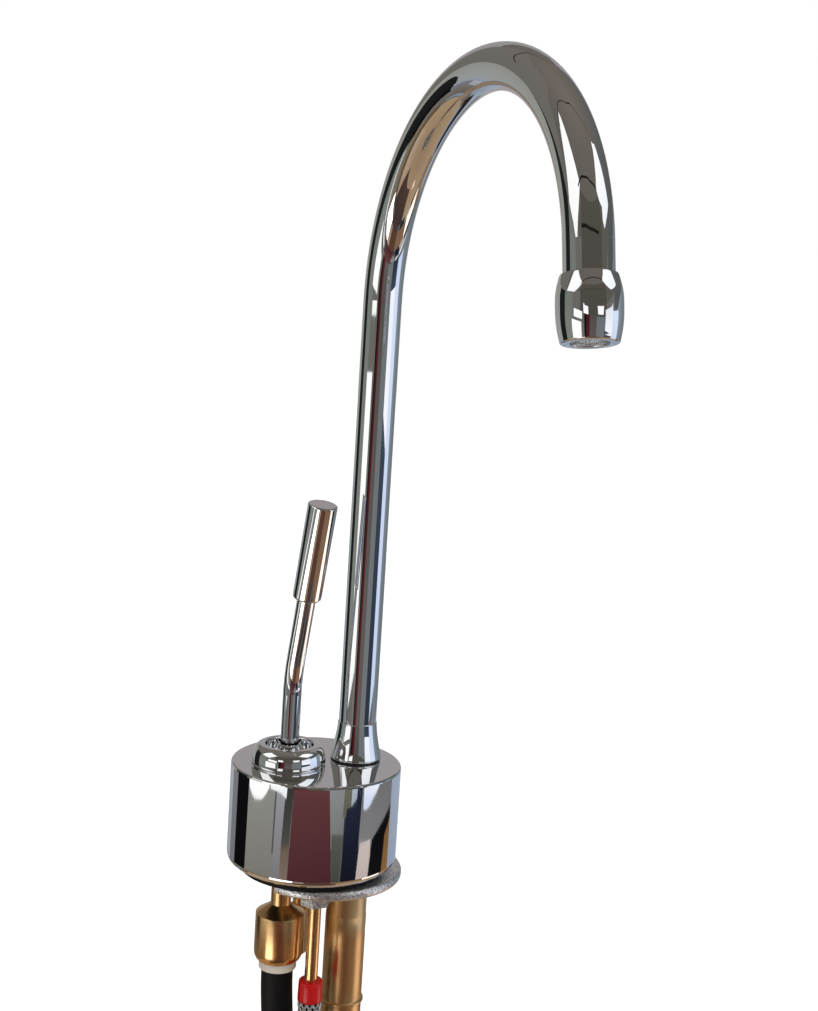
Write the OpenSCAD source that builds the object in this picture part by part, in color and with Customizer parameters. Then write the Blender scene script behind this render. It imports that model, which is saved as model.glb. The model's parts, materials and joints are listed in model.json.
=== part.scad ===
// Boiling water tap for an open-outlet under-sink boiler: a chrome drum body carries a swivelling
// gooseneck spout and a joystick lever, and three connections hang through the worktop hole.
// Millimetres, +Z up. The origin is the centre of the drum's rim where it stands on the worktop.
// The spout reaches towards -Y, the lever stands on the -X side and the spout post on the +X side.

/* [Drum body] */
// Outer diameter of the drum
body_d = 57; // [56:0.5:62]
// Height of the drum
body_h = 33.4; // [33:0.2:42]
// Thickness of the drum's side wall
body_wall = 2.5; // [2:0.1:2.8]
// Thickness of the drum's top
top_t = 3; // [2.5:0.1:4]
// Rounding of the drum's lower edge
foot_round = 2.5; // [1:0.1:2.6]
// Rounding of the drum's upper edge
rim_round = 0.8; // [0.3:0.1:1.5]
// Width of the flat rim that stands on the worktop
rim_w = 1.8; // [1.2:0.1:2]
// Thickness of the base plate inside the rim
base_t = 2.2; // [1.6:0.1:2.4]
// How far the foam gasket stands out below the rim before it is clamped
gasket_proud = 2.4; // [1.5:0.1:3]
// Narrowest width of the gasket, on the side of the spout post
gasket_web = 2.5; // [2:0.1:4]
// Distance from the drum's axis to the spout post
post_x = 14; // [13.5:0.1:14.6]
// Distance from the drum's axis to the lever
lever_offset = 10; // [9.8:0.1:10.6]

/* [Spout] */
// Outer diameter of the spout tube
tube_d = 12.7; // [12.5:0.1:14]
// Wall of the spout tube
tube_wall = 1; // [0.8:0.1:1.2]
// Radius of the arch at the middle of the tube
arch_r = 62.3; // [50:0.1:90]
// Height of the arch's centre above the drum
post_rise = 154; // [120:1:220]
// Angle between the outlet and the vertical
end_tilt = 9.5; // [4:0.5:15]
// Straight stretch of tube between the arch and the nozzle
tail_len = 7.9; // [4:0.1:20]
// Diameter of the collar at its foot
collar_d = 17.4; // [16.6:0.1:18.4]
// Height of the collar
collar_h = 13; // [12:0.1:16]
// How far the spout swivels to each side
swivel_angle = 120; // [60:5:140]

/* [Nozzle] */
// Largest diameter of the nozzle
nozzle_d = 16.5; // [16:0.1:18]
// Length of the nozzle
nozzle_len = 16.6; // [16:0.1:22]
// Diameter of the nozzle's open end
mouth_d = 9.4; // [9:0.1:11.6]
// Diameter of each jet hole in the straightener
jet_d = 1.4; // [0.8:0.1:1.6]

/* [Lever] */
// Diameter of the bonnet's lip
bonnet_d = 24.6; // [23:0.1:25]
// Height of the bonnet above the drum
bonnet_h = 6.8; // [6.6:0.1:8.5]
// Diameter of the bonnet's crater
crater_d = 15.8; // [15:0.1:16]
// Diameter of the lever's ball
ball_d = 10; // [9.6:0.1:10.2]
// Diameter of the lever's stem
stem_d = 6.2; // [5.6:0.1:6.6]
// Height above the drum at which the stem starts to bend
stem_rise = 23.3; // [16:0.1:30]
// Radius of the stem's bend
bend_r = 50; // [25:1:80]
// Angle of the stem's bend
bend_angle = 14; // [8:0.5:25]
// How far the bend is turned about the stem, towards the spout post
bend_turn = 6; // [-20:0.5:20]
// Length of straight stem between the bend and the grip
stem_len = 22; // [12:0.5:30]
// Diameter of the grip at its top
grip_d = 9.6; // [9:0.1:12]
// Length of the grip
grip_len = 32.5; // [24:0.5:45]

/* [Cartridge] */
// Outer diameter of the cartridge
cart_d = 17; // [16.8:0.1:17.1]
// Wall of the cartridge housing
cart_wall = 0.9; // [0.8:0.05:1]
// Thickness of the fixed ceramic disc
fixed_t = 2.7; // [2.4:0.1:2.9]
// Thickness of the moving ceramic disc
moving_t = 2.1; // [1.8:0.1:2.2]
// Thickness of the disc carrier
carrier_t = 3.4; // [3.2:0.1:3.6]
// Distance from the lever's pivot to the small ball that drives the disc
arm_len = 7; // [6.8:0.1:7.2]
// Diameter of the cartridge's water ports
port_d = 2.8; // [2:0.1:3]
// Diameter of the drilled waterways
way_d = 2.4; // [1.8:0.1:2.6]

/* [Connections below] */
// Outer diameter of the clamp plate
clamp_d = 52.4; // [50:0.2:56]
// Thickness of the clamp plate
clamp_t = 3.2; // [2:0.1:4]
// Length of the fixing stud below the worktop
stud_len = 40; // [34:1:70]
// Diameter of the fixing stud
stud_d = 5.8; // [4.8:0.1:6]
// Outer diameter of the brass boiler tail
shank_d = 14; // [13:0.1:14.2]
// Length of the boiler tail below the worktop
shank_len = 78; // [72:1:110]
// Height of the ridge on the boiler tail, below the worktop
ridge_drop = 50.8; // [40:0.2:54]
// Outer diameter of the push-fit connector
fitting_d = 16.5; // [16:0.1:17]
// Outer diameter of the black supply hose
supply_d = 10.7; // [10:0.1:10.9]
// Outer diameter of the thin brass tube
thin_d = 4.4; // [4:0.1:4.6]
// Outer diameter of the braided hose
braid_d = 8.2; // [7.6:0.1:8.4]
// Width across the flats of the hose nuts
nut_af = 19; // [19:0.5:22]

/* [Hidden] */
$fn = 96;

CHROME = [0.82, 0.83, 0.85];
BRASS = [0.80, 0.62, 0.36];
ZINC = [0.66, 0.65, 0.68];
STEEL = [0.70, 0.71, 0.72];
RUBBER = [0.06, 0.06, 0.06];
CERAMIC = [0.93, 0.92, 0.88];
ACETAL = [0.88, 0.88, 0.86];
CREAM = [0.86, 0.80, 0.72];
RED = [0.75, 0.03, 0.05];

// clearances: a running fit, a loose fit and an axial gap
run = 0.05;
loose = 0.1;
gap = 0.1;

// how far a cut runs past a face, and how a straight end is let into a bend: deeper and thinner
cut = 0.01;
sink = 0.1;
hair = 0.01;

// drum
body_r = body_d / 2;
top_z = body_h;
rim_r = body_r - foot_round - rim_w;
plate_r = rim_r - loose;
gasket_sink = 0.8;
base_top_z = gasket_sink + base_t;
cavity_top = body_h - top_t;
foot_h = 3;
lever_x = -lever_offset;
deck_x = 4;
deck_r = plate_r - deck_x - gasket_web;

// spout bearing
spigot_r = 5;
spigot_bore_r = 3.2;
spigot_foot_r = 6;
washer_t = 0.35;
collar_z = top_z + washer_t + run;
collar_top = top_z + collar_h;
collar_r = collar_d / 2;
collar_top_r = tube_d / 2 + 0.25;
collar_bore_r = spigot_r + run;
spigot_top = collar_top - 1.5;
nipple_r = tube_d / 2 - tube_wall - run;
nipple_len = 7.5;
nipple_bore_r = 3.6;
ring_r = 0.48;
ring_groove = 0.65;
ring_seat_r = spigot_r - 2 * ring_r - 0.04;
stop_z = (collar_z + spigot_top) / 2;
stop_half = 1.15;
stop_tip_r = 1;
stop_seat_r = 4.2;
stop_spare = asin(stop_tip_r / stop_seat_r);
ring_zs = [collar_z + 2.4, spigot_top - 1.6];

// spout tube and nozzle
tube_r = tube_d / 2;
tube_bore_r = tube_r - tube_wall;
arch_z = top_z + post_rise;
arch_end = 180 - end_tilt;
plug_in = 5;
nozzle_bore_r = tube_r + run;
nozzle_top_r = nozzle_bore_r + 0.65;
nozzle_r = nozzle_d / 2;
nozzle_foot_r = nozzle_r - 0.95;
foot_edge = 0.6;
mouth_r = mouth_d / 2;
lip_t = 2.6;
seal_t = 1.1;
screen_t = 0.6;
jets_t = 3;
insert_r = nozzle_bore_r - run;
seal_z = -plug_in;
jets_z = -nozzle_len + lip_t;
jet_pitch = 1.95;

// lever and cartridge, stacked down from the drum's top
crater_r = crater_d / 2;
cart_r = cart_d / 2;
cart_bore_r = cart_r - cart_wall;
well_r = cart_r + loose;
seat_z = top_z + 1.8;
seat_t = 1;
pivot_z = top_z + 0.3;
ball_r = ball_d / 2;
neck_r = 3.9;
neck_z = pivot_z + 4.3;
guide_r = cart_bore_r - 0.06;
guide_bore_r = ball_r + 0.08;
guide_top = seat_z - gap;
pin_r = 1;
end_ball_r = 1.8;
end_ball_z = pivot_z - arm_len;
carrier_top = end_ball_z + 0.55;
guide_foot = carrier_top + 0.25;
carrier_r = 5.2;
flat_x = 4.2;
carrier_z = carrier_top - carrier_t;
moving_z = carrier_z - moving_t;
cheek_z = carrier_z + 0.25;
fixed_z = moving_z - run - fixed_t;
port_gasket_t = 0.8;
plug_top = fixed_z - port_gasket_t;
base_plug = 5;
flange_t = 1;
flange_z = plug_top - base_plug - flange_t;
seal_disc_t = 1;
well_z = flange_z - seal_disc_t;
skirt_r = well_r + 1.4;
skirt_z = top_z - 10.7;
bonnet_r = bonnet_d / 2;
lip_h = 0.8;
crown_r = crater_r + 1.1;
dome_ease = 1.2;
port_ring = 3.6;
port_angles = [90, 210, 330];
port_r = port_d / 2;
way_r = way_d / 2;
way_z = well_z - way_r - 1;
thin_x = -1.5;
thin_y = -9.9;
thin_r = thin_d / 2;

// lever stem and grip
stem_r = stem_d / 2;
stem_tip_r = 2;
bend_z = top_z + stem_rise;
grip_r = grip_d / 2;
grip_sink = 9;
grip_round = 0.8;
grip_edge = 0.5;
grip_taper = 0.1;
grub_r = 1.5;

// valve block
shank_r = shank_d / 2;
block_r = well_r + 2.9;
post_boss_r = shank_r + 2.6;
block_web = 14;
stud_web = 7;
boss_wall = 2.2;
neck_hole_r = 3.4;
socket_z = base_top_z + 3.4;
chamber_h = 0.9;
shank_top = 7.2;
spigot_z = 18;
stud_x = 2.2;
stud_y = 13.5;
stud_r = stud_d / 2;
stud_boss_h = 9;
stud_top = base_top_z + stud_boss_h - 1.5;
screw_at = [[lever_x - 8, 0], [3, 5.5], [lever_x + 1, -8.2]];
screw_r = 1.5;
screw_head_r = 2.8;
screw_len = 6.6;

// clamp plate, its slot opening towards -X
clamp_r = clamp_d / 2;
clamp_round = 0.4 * clamp_t;
clamp_x = 5;
clamp_z = -gasket_proud - clamp_t;
slot_front = 13.5;
slot_back = 9.6;
slot_end = post_x + shank_r + 1.6;
stud_washer_t = 1;
fixing_nut_h = 5;
fixing_nut_af = 10;

// boiler tail
tail_step_z = -20.8;
ridge_h = 1.7;
ridge_r = shank_r + 0.6;
tail_bore_r = 4.5;
tail_thread_r = 6.58;
tail_thread_len = 12;

// push-fit connector
fitting_r = fitting_d / 2;
neck_end_z = -19;
cone_end_z = -21.4;
barrel_end_z = -33.3;
fitting_end_z = -36.5;
supply_r = supply_d / 2;
supply_bore_r = supply_r + 0.15;
stop_depth_z = -23.9;
o_groove_z = -26.4;
o_groove_h = 1.7;
grab_groove_z = -29.6;
grab_groove_h = 1;
neck_bore_r = 2;
hose_ring_r = 0.6;
hose_ring_groove_r = supply_r + 2 * hose_ring_r + 0.06;
grab_groove_r = fitting_r - 1.2;
collet_r = supply_bore_r + 0.5;
collet_flange_r = fitting_r - 1.9;
collet_end_z = -38.9;

// thin tube, its gland nut and sleeve
gland_af = 9;
gland_h = 6.4;
gland_z = clamp_z - gap - gland_h;
sleeve_r = braid_d / 2 + 0.25;
sleeve_top = -37.5;
sleeve_end = -45.6;
sleeve_grip = 5.5;
braid_r = braid_d / 2;

// hose routes, top to bottom
supply_route = [
    [-10, 0, -24.1], [-10, 0, -40], [-9.5, 0, -50], [-8.6, 0, -61], [-7.7, 0.1, -75],
    [-7.4, 0.3, -95], [-8.2, 0.7, -120], [-9.8, 1.3, -150], [-11.5, 2, -180], [-13, 2.6, -210],
    [-14.2, 3.1, -240], [-15.1, 3.5, -270], [-15.6, 3.8, -300], [-15.9, 4, -330], [-16, 4, -360],
    [-16, 4, -380]
];
braid_route = [
    [-1.5, -9.9, -45.7], [-1.5, -9.9, -60], [-1.5, -10, -80], [-1.6, -10.3, -105], [-1.9, -10.9, -135],
    [-2.2, -11.6, -165], [-2.4, -12.3, -195], [-2.4, -12.9, -225], [-2.2, -13.4, -255],
    [-1.9, -13.7, -285], [-1.7, -13.9, -315], [-1.5, -14, -345], [-1.5, -14, -370], [-1.5, -14, -395]
];
hose_sides = 10;
ferrule_wall = 0.8;
ferrule_grip = 14;
tail_neck_r = 3.5;
tail_len_below = 6;
tail_flange_r = 6.2;
tail_flange_t = 2;
hose_washer_t = 1.5;
nut_bore_r = 7.5;
nut_relief_r = 7.8;
nut_h = 14;
nut_cap = 3;

// shared shapes

module ring(r_out, r_in, h) {
    difference() {
        cylinder(r = r_out, h = h);
        translate([0, 0, -cut]) cylinder(r = r_in, h = h + 2 * cut);
    }
}

module torus(major, minor) {
    rotate_extrude() translate([major, 0]) circle(r = minor, $fn = 48);
}

module hex(af, h) {
    cylinder(r = af / sqrt(3), h = h, $fn = 6);
}

// a circular bend that starts upwards at the origin and leans towards -Y
module bend_up(radius, angle) {
    translate([0, -radius, 0]) rotate([90, 0, 90])
        rotate_extrude(angle = angle) translate([radius, 0]) children();
}

module at_post() {
    translate([post_x, 0, 0]) children();
}

module at_lever() {
    translate([lever_x, 0, 0]) children();
}

// the outlet's own frame: origin where the arch ends, local -Z along the flow
module at_outlet() {
    translate([post_x, -arch_r - arch_r * cos(end_tilt), arch_z + arch_r * sin(end_tilt)])
        rotate([-end_tilt, 0, 0]) children();
}

module at_nozzle() {
    at_outlet() translate([0, 0, -tail_len]) children();
}

// the stem's frame above its bend, local +Z along the stem
module above_bend() {
    at_lever() rotate([0, 0, bend_turn])
        translate([0, -bend_r * (1 - cos(bend_angle)), bend_z + bend_r * sin(bend_angle)])
            rotate([bend_angle, 0, 0]) children();
}

module ports(r, h) {
    for (a = port_angles) rotate([0, 0, a]) translate([port_ring, 0, -cut]) cylinder(r = r, h = h + 2 * cut);
}

// a round bar from one point to another at the same height
module cross_bore(from, to, z, r) {
    d = to - from;
    translate([from[0], from[1], z]) rotate([0, 0, atan2(d[1], d[0])]) rotate([0, 90, 0])
        cylinder(r = r, h = norm(d));
}

function arc(cx, cy, r, from, to, steps) =
    [for (i = [0:steps]) let (a = from + (to - from) * i / steps) [cx + r * cos(a), cy + r * sin(a)]];

// drum

module tap_body() {
    color(CHROME) difference() {
        rotate_extrude($fn = 180) polygon(concat(
            [[0, 0]],
            arc(body_r - foot_round, foot_round, foot_round, -90, 0, 8),
            arc(body_r - rim_round, top_z - rim_round, rim_round, 0, 90, 5),
            [[0, top_z]]
        ));
        translate([0, 0, -cut]) cylinder(r = rim_r, h = foot_h + 2 * cut);
        translate([0, 0, foot_h]) cylinder(r = body_r - body_wall, h = cavity_top - foot_h);
        at_post() cylinder(r = spigot_r + loose, h = top_z + cut);
        at_lever() cylinder(r = skirt_r + loose, h = top_z + cut);
    }
}

// clearance holes for the tail, the connector's neck, the thin tube and the stud
module passages(h) {
    at_post() translate([0, 0, -cut]) cylinder(r = shank_r + loose, h = h + 2 * cut);
    at_lever() translate([0, 0, -cut]) cylinder(r = neck_hole_r + loose, h = h + 2 * cut);
    translate([thin_x, thin_y, -cut]) cylinder(r = thin_r + loose, h = h + 2 * cut);
    translate([stud_x, stud_y, -cut]) cylinder(r = stud_r + loose, h = h + 2 * cut);
}

module base_plate() {
    color(STEEL) translate([0, 0, gasket_sink]) difference() {
        cylinder(r = plate_r, h = base_t);
        passages(base_t);
        for (p = screw_at) translate([p[0], p[1], -cut]) {
            cylinder(r = screw_r + loose, h = base_t + 2 * cut);
            cylinder(r1 = screw_head_r + loose, r2 = screw_r + loose, h = screw_head_r - screw_r);
        }
    }
}

module base_screws() {
    color(STEEL) for (p = screw_at) translate([p[0], p[1], gasket_sink]) difference() {
        union() {
            cylinder(r1 = screw_head_r, r2 = screw_r, h = screw_head_r - screw_r);
            cylinder(r = screw_r, h = screw_len);
        }
        translate([0, 0, -cut]) cylinder(r = 1, h = 1.1, $fn = 6);
    }
}

module deck_gasket() {
    height = gasket_proud + gasket_sink;
    color(RUBBER) translate([0, 0, -gasket_proud]) difference() {
        cylinder(r = plate_r, h = height);
        translate([deck_x, 0, -cut]) cylinder(r = deck_r, h = height + 2 * cut);
        passages(height);
    }
}

module valve_block() {
    height = cavity_top - base_top_z;
    color(BRASS) difference() {
        translate([0, 0, base_top_z]) union() {
            at_lever() cylinder(r = block_r, h = height);
            at_post() cylinder(r = post_boss_r, h = height);
            translate([lever_x, -block_web / 2, 0]) cube([post_x - lever_x, block_web, height]);
            translate([thin_x, thin_y, 0])
                cylinder(r = thin_r + boss_wall, h = way_z + way_r + 1 - base_top_z);
            translate([stud_x, stud_y, 0]) cylinder(r = stud_r + boss_wall, h = stud_boss_h);
            translate([stud_x - stud_web / 2, 0, 0]) cube([stud_web, stud_y, stud_boss_h]);
        }
        at_lever() {
            translate([0, 0, well_z]) cylinder(r = well_r, h = top_z);
            translate([0, 0, skirt_z - gap]) cylinder(r = skirt_r + run, h = top_z);
            translate([0, 0, way_z]) ports(port_r, well_z - way_z);
            cylinder(r = neck_hole_r + run, h = socket_z);
            translate([0, 0, socket_z - cut]) cylinder(r = port_ring + port_r / 2, h = chamber_h);
            translate([0, port_ring, socket_z]) cylinder(r = port_r, h = well_z - socket_z);
        }
        at_post() {
            cylinder(r = shank_r + run, h = shank_top);
            cylinder(r = spigot_bore_r, h = top_z);
            translate([0, 0, spigot_z]) cylinder(r = spigot_foot_r + run, h = top_z);
        }
        cross_bore(port_at(2), [post_x, port_at(2)[1]], way_z, way_r);
        cross_bore(port_at(1), [thin_x, thin_y], way_z, way_r);
        translate([thin_x, thin_y, 0]) cylinder(r = thin_r + run, h = way_z);
        translate([stud_x, stud_y, 0]) cylinder(r = stud_r + run, h = stud_top + gap);
        for (p = screw_at) translate([p[0], p[1], gasket_sink])
            cylinder(r = screw_r + run, h = screw_len + gap);
    }
}

function port_at(i) = [lever_x + port_ring * cos(port_angles[i]), port_ring * sin(port_angles[i])];

// fixing

module clamp_plate() {
    color(ZINC) translate([0, 0, clamp_z]) difference() {
        translate([clamp_x, 0, 0]) rotate_extrude($fn = 160) polygon(concat(
            [[0, 0]],
            arc(clamp_r - clamp_round, clamp_round, clamp_round, -90, 0, 5),
            arc(clamp_r - clamp_round, clamp_t - clamp_round, clamp_round, 0, 90, 5),
            [[0, clamp_t]]
        ));
        translate([clamp_x - clamp_r - 1, -slot_front, -cut])
            cube([clamp_r + 1 + slot_end - slot_front - clamp_x, slot_front + slot_back, clamp_t + 2 * cut]);
        intersection() {
            translate([slot_end - slot_front, 0, -cut]) cylinder(r = slot_front, h = clamp_t + 2 * cut);
            translate([-clamp_d, -slot_front, -cut])
                cube([2 * clamp_d, slot_front + slot_back, clamp_t + 2 * cut]);
        }
        translate([stud_x, stud_y, -cut]) cylinder(r = stud_r + 0.3, h = clamp_t + 2 * cut);
    }
}

module fixing_stud() {
    color(BRASS) translate([stud_x, stud_y, -stud_len]) cylinder(r = stud_r, h = stud_len + stud_top);
}

module stud_washer() {
    color(STEEL) translate([stud_x, stud_y, clamp_z - stud_washer_t]) ring(6, stud_r + loose, stud_washer_t);
}

module fixing_nut() {
    color(BRASS) translate([stud_x, stud_y, clamp_z - stud_washer_t - fixing_nut_h]) difference() {
        hex(fixing_nut_af, fixing_nut_h);
        translate([0, 0, -cut]) cylinder(r = stud_r + run, h = fixing_nut_h + 2 * cut);
    }
}

// spout

module spout_spigot() {
    color(BRASS) at_post() difference() {
        union() {
            translate([0, 0, spigot_z]) cylinder(r = spigot_foot_r, h = cavity_top - spigot_z);
            translate([0, 0, cavity_top - cut]) cylinder(r = spigot_r, h = spigot_top - cavity_top + cut);
        }
        translate([0, 0, spigot_z - cut]) cylinder(r = spigot_bore_r, h = spigot_top);
        for (z = ring_zs) translate([0, 0, z - ring_groove]) ring(spigot_r + 1, ring_seat_r, 2 * ring_groove);
        translate([0, 0, stop_z - stop_half]) rotate([0, 0, 90 - swivel_angle - stop_spare])
            rotate_extrude(angle = 2 * (swivel_angle + stop_spare))
                translate([stop_seat_r, 0]) square([2, 2 * stop_half]);
    }
}

module spigot_o_rings() {
    color(RUBBER) at_post() for (z = ring_zs) translate([0, 0, z]) torus(ring_seat_r + 0.02 + ring_r, ring_r);
}

module slide_washer() {
    color(ACETAL) at_post() translate([0, 0, top_z]) ring(collar_r - 0.3, spigot_r + loose, washer_t);
}

// flared skirt, steepest at its foot, with a small rounded shoulder at the tube
module spout_collar() {
    skirt = [for (i = [0:12]) let (t = i / 12)
        [collar_top_r + (collar_r - collar_top_r) * pow(1 - t, 1.5),
         collar_z + 1 + (collar_top - collar_z - 1.35) * t]];
    color(CHROME) at_post() difference() {
        rotate_extrude() polygon(concat(
            [[collar_bore_r, collar_z], [collar_r - 0.3, collar_z], [collar_r, collar_z + 0.4]],
            skirt,
            [[collar_top_r - 0.05, collar_top - 0.15], [collar_top_r - 0.2, collar_top],
             [nipple_r, collar_top], [nipple_r, collar_top + nipple_len],
             [nipple_bore_r, collar_top + nipple_len], [nipple_bore_r, spigot_top + gap],
             [collar_bore_r, spigot_top + gap]]
        ));
        translate([0, 0, stop_z]) rotate([-90, 0, 0]) cylinder(r = grub_r + run, h = collar_r + 1);
    }
}

module spout_tube() {
    foot = collar_top;
    color(CHROME) union() {
        at_post() translate([0, 0, foot]) ring(tube_r, tube_bore_r, arch_z - foot);
        at_post() translate([0, 0, arch_z]) bend_up(arch_r, arch_end) difference() {
            circle(r = tube_r);
            circle(r = tube_bore_r);
        }
        at_outlet() translate([0, 0, -tail_len - plug_in])
            ring(tube_r - hair, tube_bore_r + hair, tail_len + plug_in + sink);
    }
}

// grub screw at the back of the collar: its tip runs in the spigot's stop groove
module swivel_screw() {
    color(STEEL) at_post() translate([0, 0, stop_z]) rotate([-90, 0, 0]) difference() {
        union() {
            translate([0, 0, stop_seat_r + gap]) cylinder(r = stop_tip_r, h = 2);
            translate([0, 0, collar_bore_r + 0.2]) cylinder(r = grub_r, h = 1.9);
        }
        translate([0, 0, collar_bore_r + 1.2]) cylinder(r = 0.8, h = 2, $fn = 6);
    }
}

// barrel: a rounded shoulder, a nearly straight belly and a tapered foot with a rounded edge
module nozzle_shell() {
    shoulder = nozzle_len * 0.33;
    belly = nozzle_len * 0.52;
    color(CHROME) at_nozzle() rotate_extrude() polygon(concat(
        [[nozzle_bore_r, 0], [nozzle_top_r, 0]],
        [for (i = [0:9]) let (t = i / 9)
            [nozzle_r - 0.04 - (nozzle_r - 0.14 - nozzle_top_r) * pow(1 - t, 1.56),
             -0.15 - (shoulder - 0.15) * t]],
        [[nozzle_r, -(shoulder + belly) / 2]],
        [for (i = [0:8]) let (t = i / 8)
            [nozzle_r - 0.02 - (nozzle_r - 0.02 - nozzle_foot_r) * t * t,
             -belly - (nozzle_len - foot_edge - belly) * t]],
        arc(nozzle_foot_r - foot_edge, -nozzle_len + foot_edge, foot_edge, -18, -90, 4),
        [[mouth_r + 0.3, -nozzle_len], [mouth_r, -nozzle_len + 0.3], [mouth_r, jets_z],
         [nozzle_bore_r, jets_z]]
    ));
}

module nozzle_seal() {
    color(RUBBER) at_nozzle() translate([0, 0, seal_z - seal_t]) ring(insert_r, tube_bore_r - 0.4, seal_t);
}

module nozzle_spacer() {
    h = seal_z - seal_t - (jets_z + jets_t + screen_t);
    color(ACETAL) at_nozzle() translate([0, 0, jets_z + jets_t + screen_t]) ring(insert_r, insert_r - 1, h);
}

module flow_screen() {
    color(STEEL) at_nozzle() translate([0, 0, jets_z + jets_t]) ring(insert_r, 2.4, screen_t);
}

module flow_straightener() {
    color(ACETAL) at_nozzle() translate([0, 0, jets_z]) difference() {
        cylinder(r = insert_r, h = jets_t);
        translate([0, 0, -cut]) for (k = [0:2], i = [0:max(0, 6 * k - 1)])
            rotate([0, 0, k == 0 ? 0 : 60 * i / k]) translate([k * jet_pitch, 0, 0])
                cylinder(r = jet_d / 2, h = jets_t + 2 * cut, $fn = 24);
    }
}

// lever mechanism

module bonnet() {
    crown_z = top_z + bonnet_h;
    dome_h = bonnet_h - lip_h;
    color(CHROME) at_lever() rotate_extrude() polygon(concat(
        [[well_r, skirt_z], [skirt_r, skirt_z], [skirt_r, top_z], [bonnet_r, top_z],
         [bonnet_r, top_z + lip_h]],
        [for (i = [0:10]) let (a = 90 * i / 10)
            [crown_r + (bonnet_r - 0.15 - crown_r) * pow(cos(a), dome_ease),
             top_z + lip_h + dome_h * pow(sin(a), dome_ease)]],
        [[crater_r + 0.5, crown_z], [crater_r, crown_z - 0.5], [crater_r, seat_z + seat_t],
         [well_r, seat_z + seat_t]]
    ));
}

module ball_seat() {
    color(STEEL) at_lever() translate([0, 0, seat_z]) difference() {
        cylinder(r = cart_r, h = seat_t);
        translate([0, 0, -cut]) cylinder(r1 = ball_r - 0.1, r2 = ball_r + 0.35, h = seat_t + 2 * cut);
    }
}

module cartridge_housing() {
    color(ACETAL) at_lever() translate([0, 0, flange_z + flange_t])
        ring(cart_r, cart_bore_r, seat_z - flange_z - flange_t);
}

module cartridge_base() {
    color(ACETAL) at_lever() translate([0, 0, flange_z]) difference() {
        union() {
            cylinder(r = cart_r, h = flange_t);
            cylinder(r = cart_bore_r - loose, h = flange_t + base_plug);
        }
        ports(port_r, flange_t + base_plug);
    }
}

module cartridge_seal() {
    color(RUBBER) at_lever() translate([0, 0, well_z]) difference() {
        cylinder(r = cart_r - loose, h = seal_disc_t);
        ports(port_r, seal_disc_t);
    }
}

module port_gasket() {
    color(RUBBER) at_lever() translate([0, 0, plug_top]) difference() {
        cylinder(r = cart_bore_r - 0.3, h = port_gasket_t);
        ports(port_r, port_gasket_t);
    }
}

module fixed_disc() {
    color(CERAMIC) at_lever() translate([0, 0, fixed_z]) difference() {
        cylinder(r = cart_bore_r - loose, h = fixed_t);
        ports(port_r, fixed_t);
    }
}

// a disc with two flats, which the turn guide's cheeks hold
module flatted_disc(h) {
    intersection() {
        cylinder(r = carrier_r, h = h);
        translate([-flat_x, -carrier_r, 0]) cube([2 * flat_x, 2 * carrier_r, h]);
    }
}

// its recess covers two ports when closed and joins them to the third when it slides
module moving_disc() {
    color(CERAMIC) at_lever() translate([0, 0, moving_z]) difference() {
        flatted_disc(moving_t);
        translate([-3, -3.6, -cut]) cube([6, 5.5, 1]);
    }
}

module disc_carrier() {
    color(ACETAL) at_lever() translate([0, 0, carrier_z]) difference() {
        flatted_disc(carrier_t);
        translate([0, 0, 0.8]) cylinder(r = end_ball_r + 0.08, h = carrier_t);
    }
}

module turn_guide() {
    color(ACETAL) at_lever() difference() {
        translate([0, 0, cheek_z]) cylinder(r = guide_r, h = guide_top - cheek_z);
        translate([0, 0, guide_foot - cut]) cylinder(r = guide_bore_r, h = guide_top);
        translate([-flat_x - 0.07, -cart_d, cheek_z - cut])
            cube([2 * flat_x + 0.14, 2 * cart_d, guide_foot - cheek_z + cut]);
        translate([0, 0, pivot_z]) rotate([0, 90, 0]) cylinder(r = pin_r + 0.02, h = cart_d, center = true);
    }
}

module pivot_pin() {
    color(STEEL) translate([lever_x - guide_r + 0.2, 0, pivot_z]) rotate([0, 90, 0])
        cylinder(r = pin_r, h = 2 * guide_r - 0.4);
}

module lever_ball() {
    color(CHROME) at_lever() translate([0, 0, pivot_z]) difference() {
        union() {
            intersection() {
                sphere(r = ball_r);
                translate([0, 0, neck_z - pivot_z - 2 * ball_r]) cylinder(r = ball_d, h = 2 * ball_r);
            }
            translate([0, 0, 2.2]) cylinder(r = neck_r, h = neck_z - pivot_z - 2.2);
            translate([0, 0, -arm_len]) cylinder(r = end_ball_r - 0.4, h = arm_len - 2);
            translate([0, 0, -arm_len]) sphere(r = end_ball_r);
        }
        rotate([0, 90, 0]) cylinder(r = pin_r + run, h = 3 * ball_r, center = true);
        translate([0, 0, pin_r + 0.6]) cylinder(r = stem_tip_r + run, h = ball_r);
    }
}

module lever_collar() {
    color(CHROME) at_lever() translate([0, 0, neck_z]) difference() {
        union() {
            cylinder(r = neck_r, h = 1.5);
            translate([0, 0, 1.5]) cylinder(r1 = neck_r, r2 = neck_r - 0.5, h = 0.5);
        }
        translate([0, 0, -cut]) cylinder(r = stem_r + run, h = 3);
    }
}

module lever_stem() {
    foot = pivot_z + pin_r + 0.8;
    color(CHROME) union() {
        at_lever() translate([0, 0, foot]) cylinder(r = stem_tip_r, h = neck_z - foot + 0.5);
        at_lever() translate([0, 0, neck_z]) cylinder(r = stem_r, h = bend_z - neck_z);
        at_lever() translate([0, 0, bend_z]) rotate([0, 0, bend_turn])
            bend_up(bend_r, bend_angle) circle(r = stem_r, $fn = 48);
        above_bend() translate([0, 0, -sink])
            cylinder(r = stem_r - hair, h = sink + stem_len + grip_sink - gap);
    }
}

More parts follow.
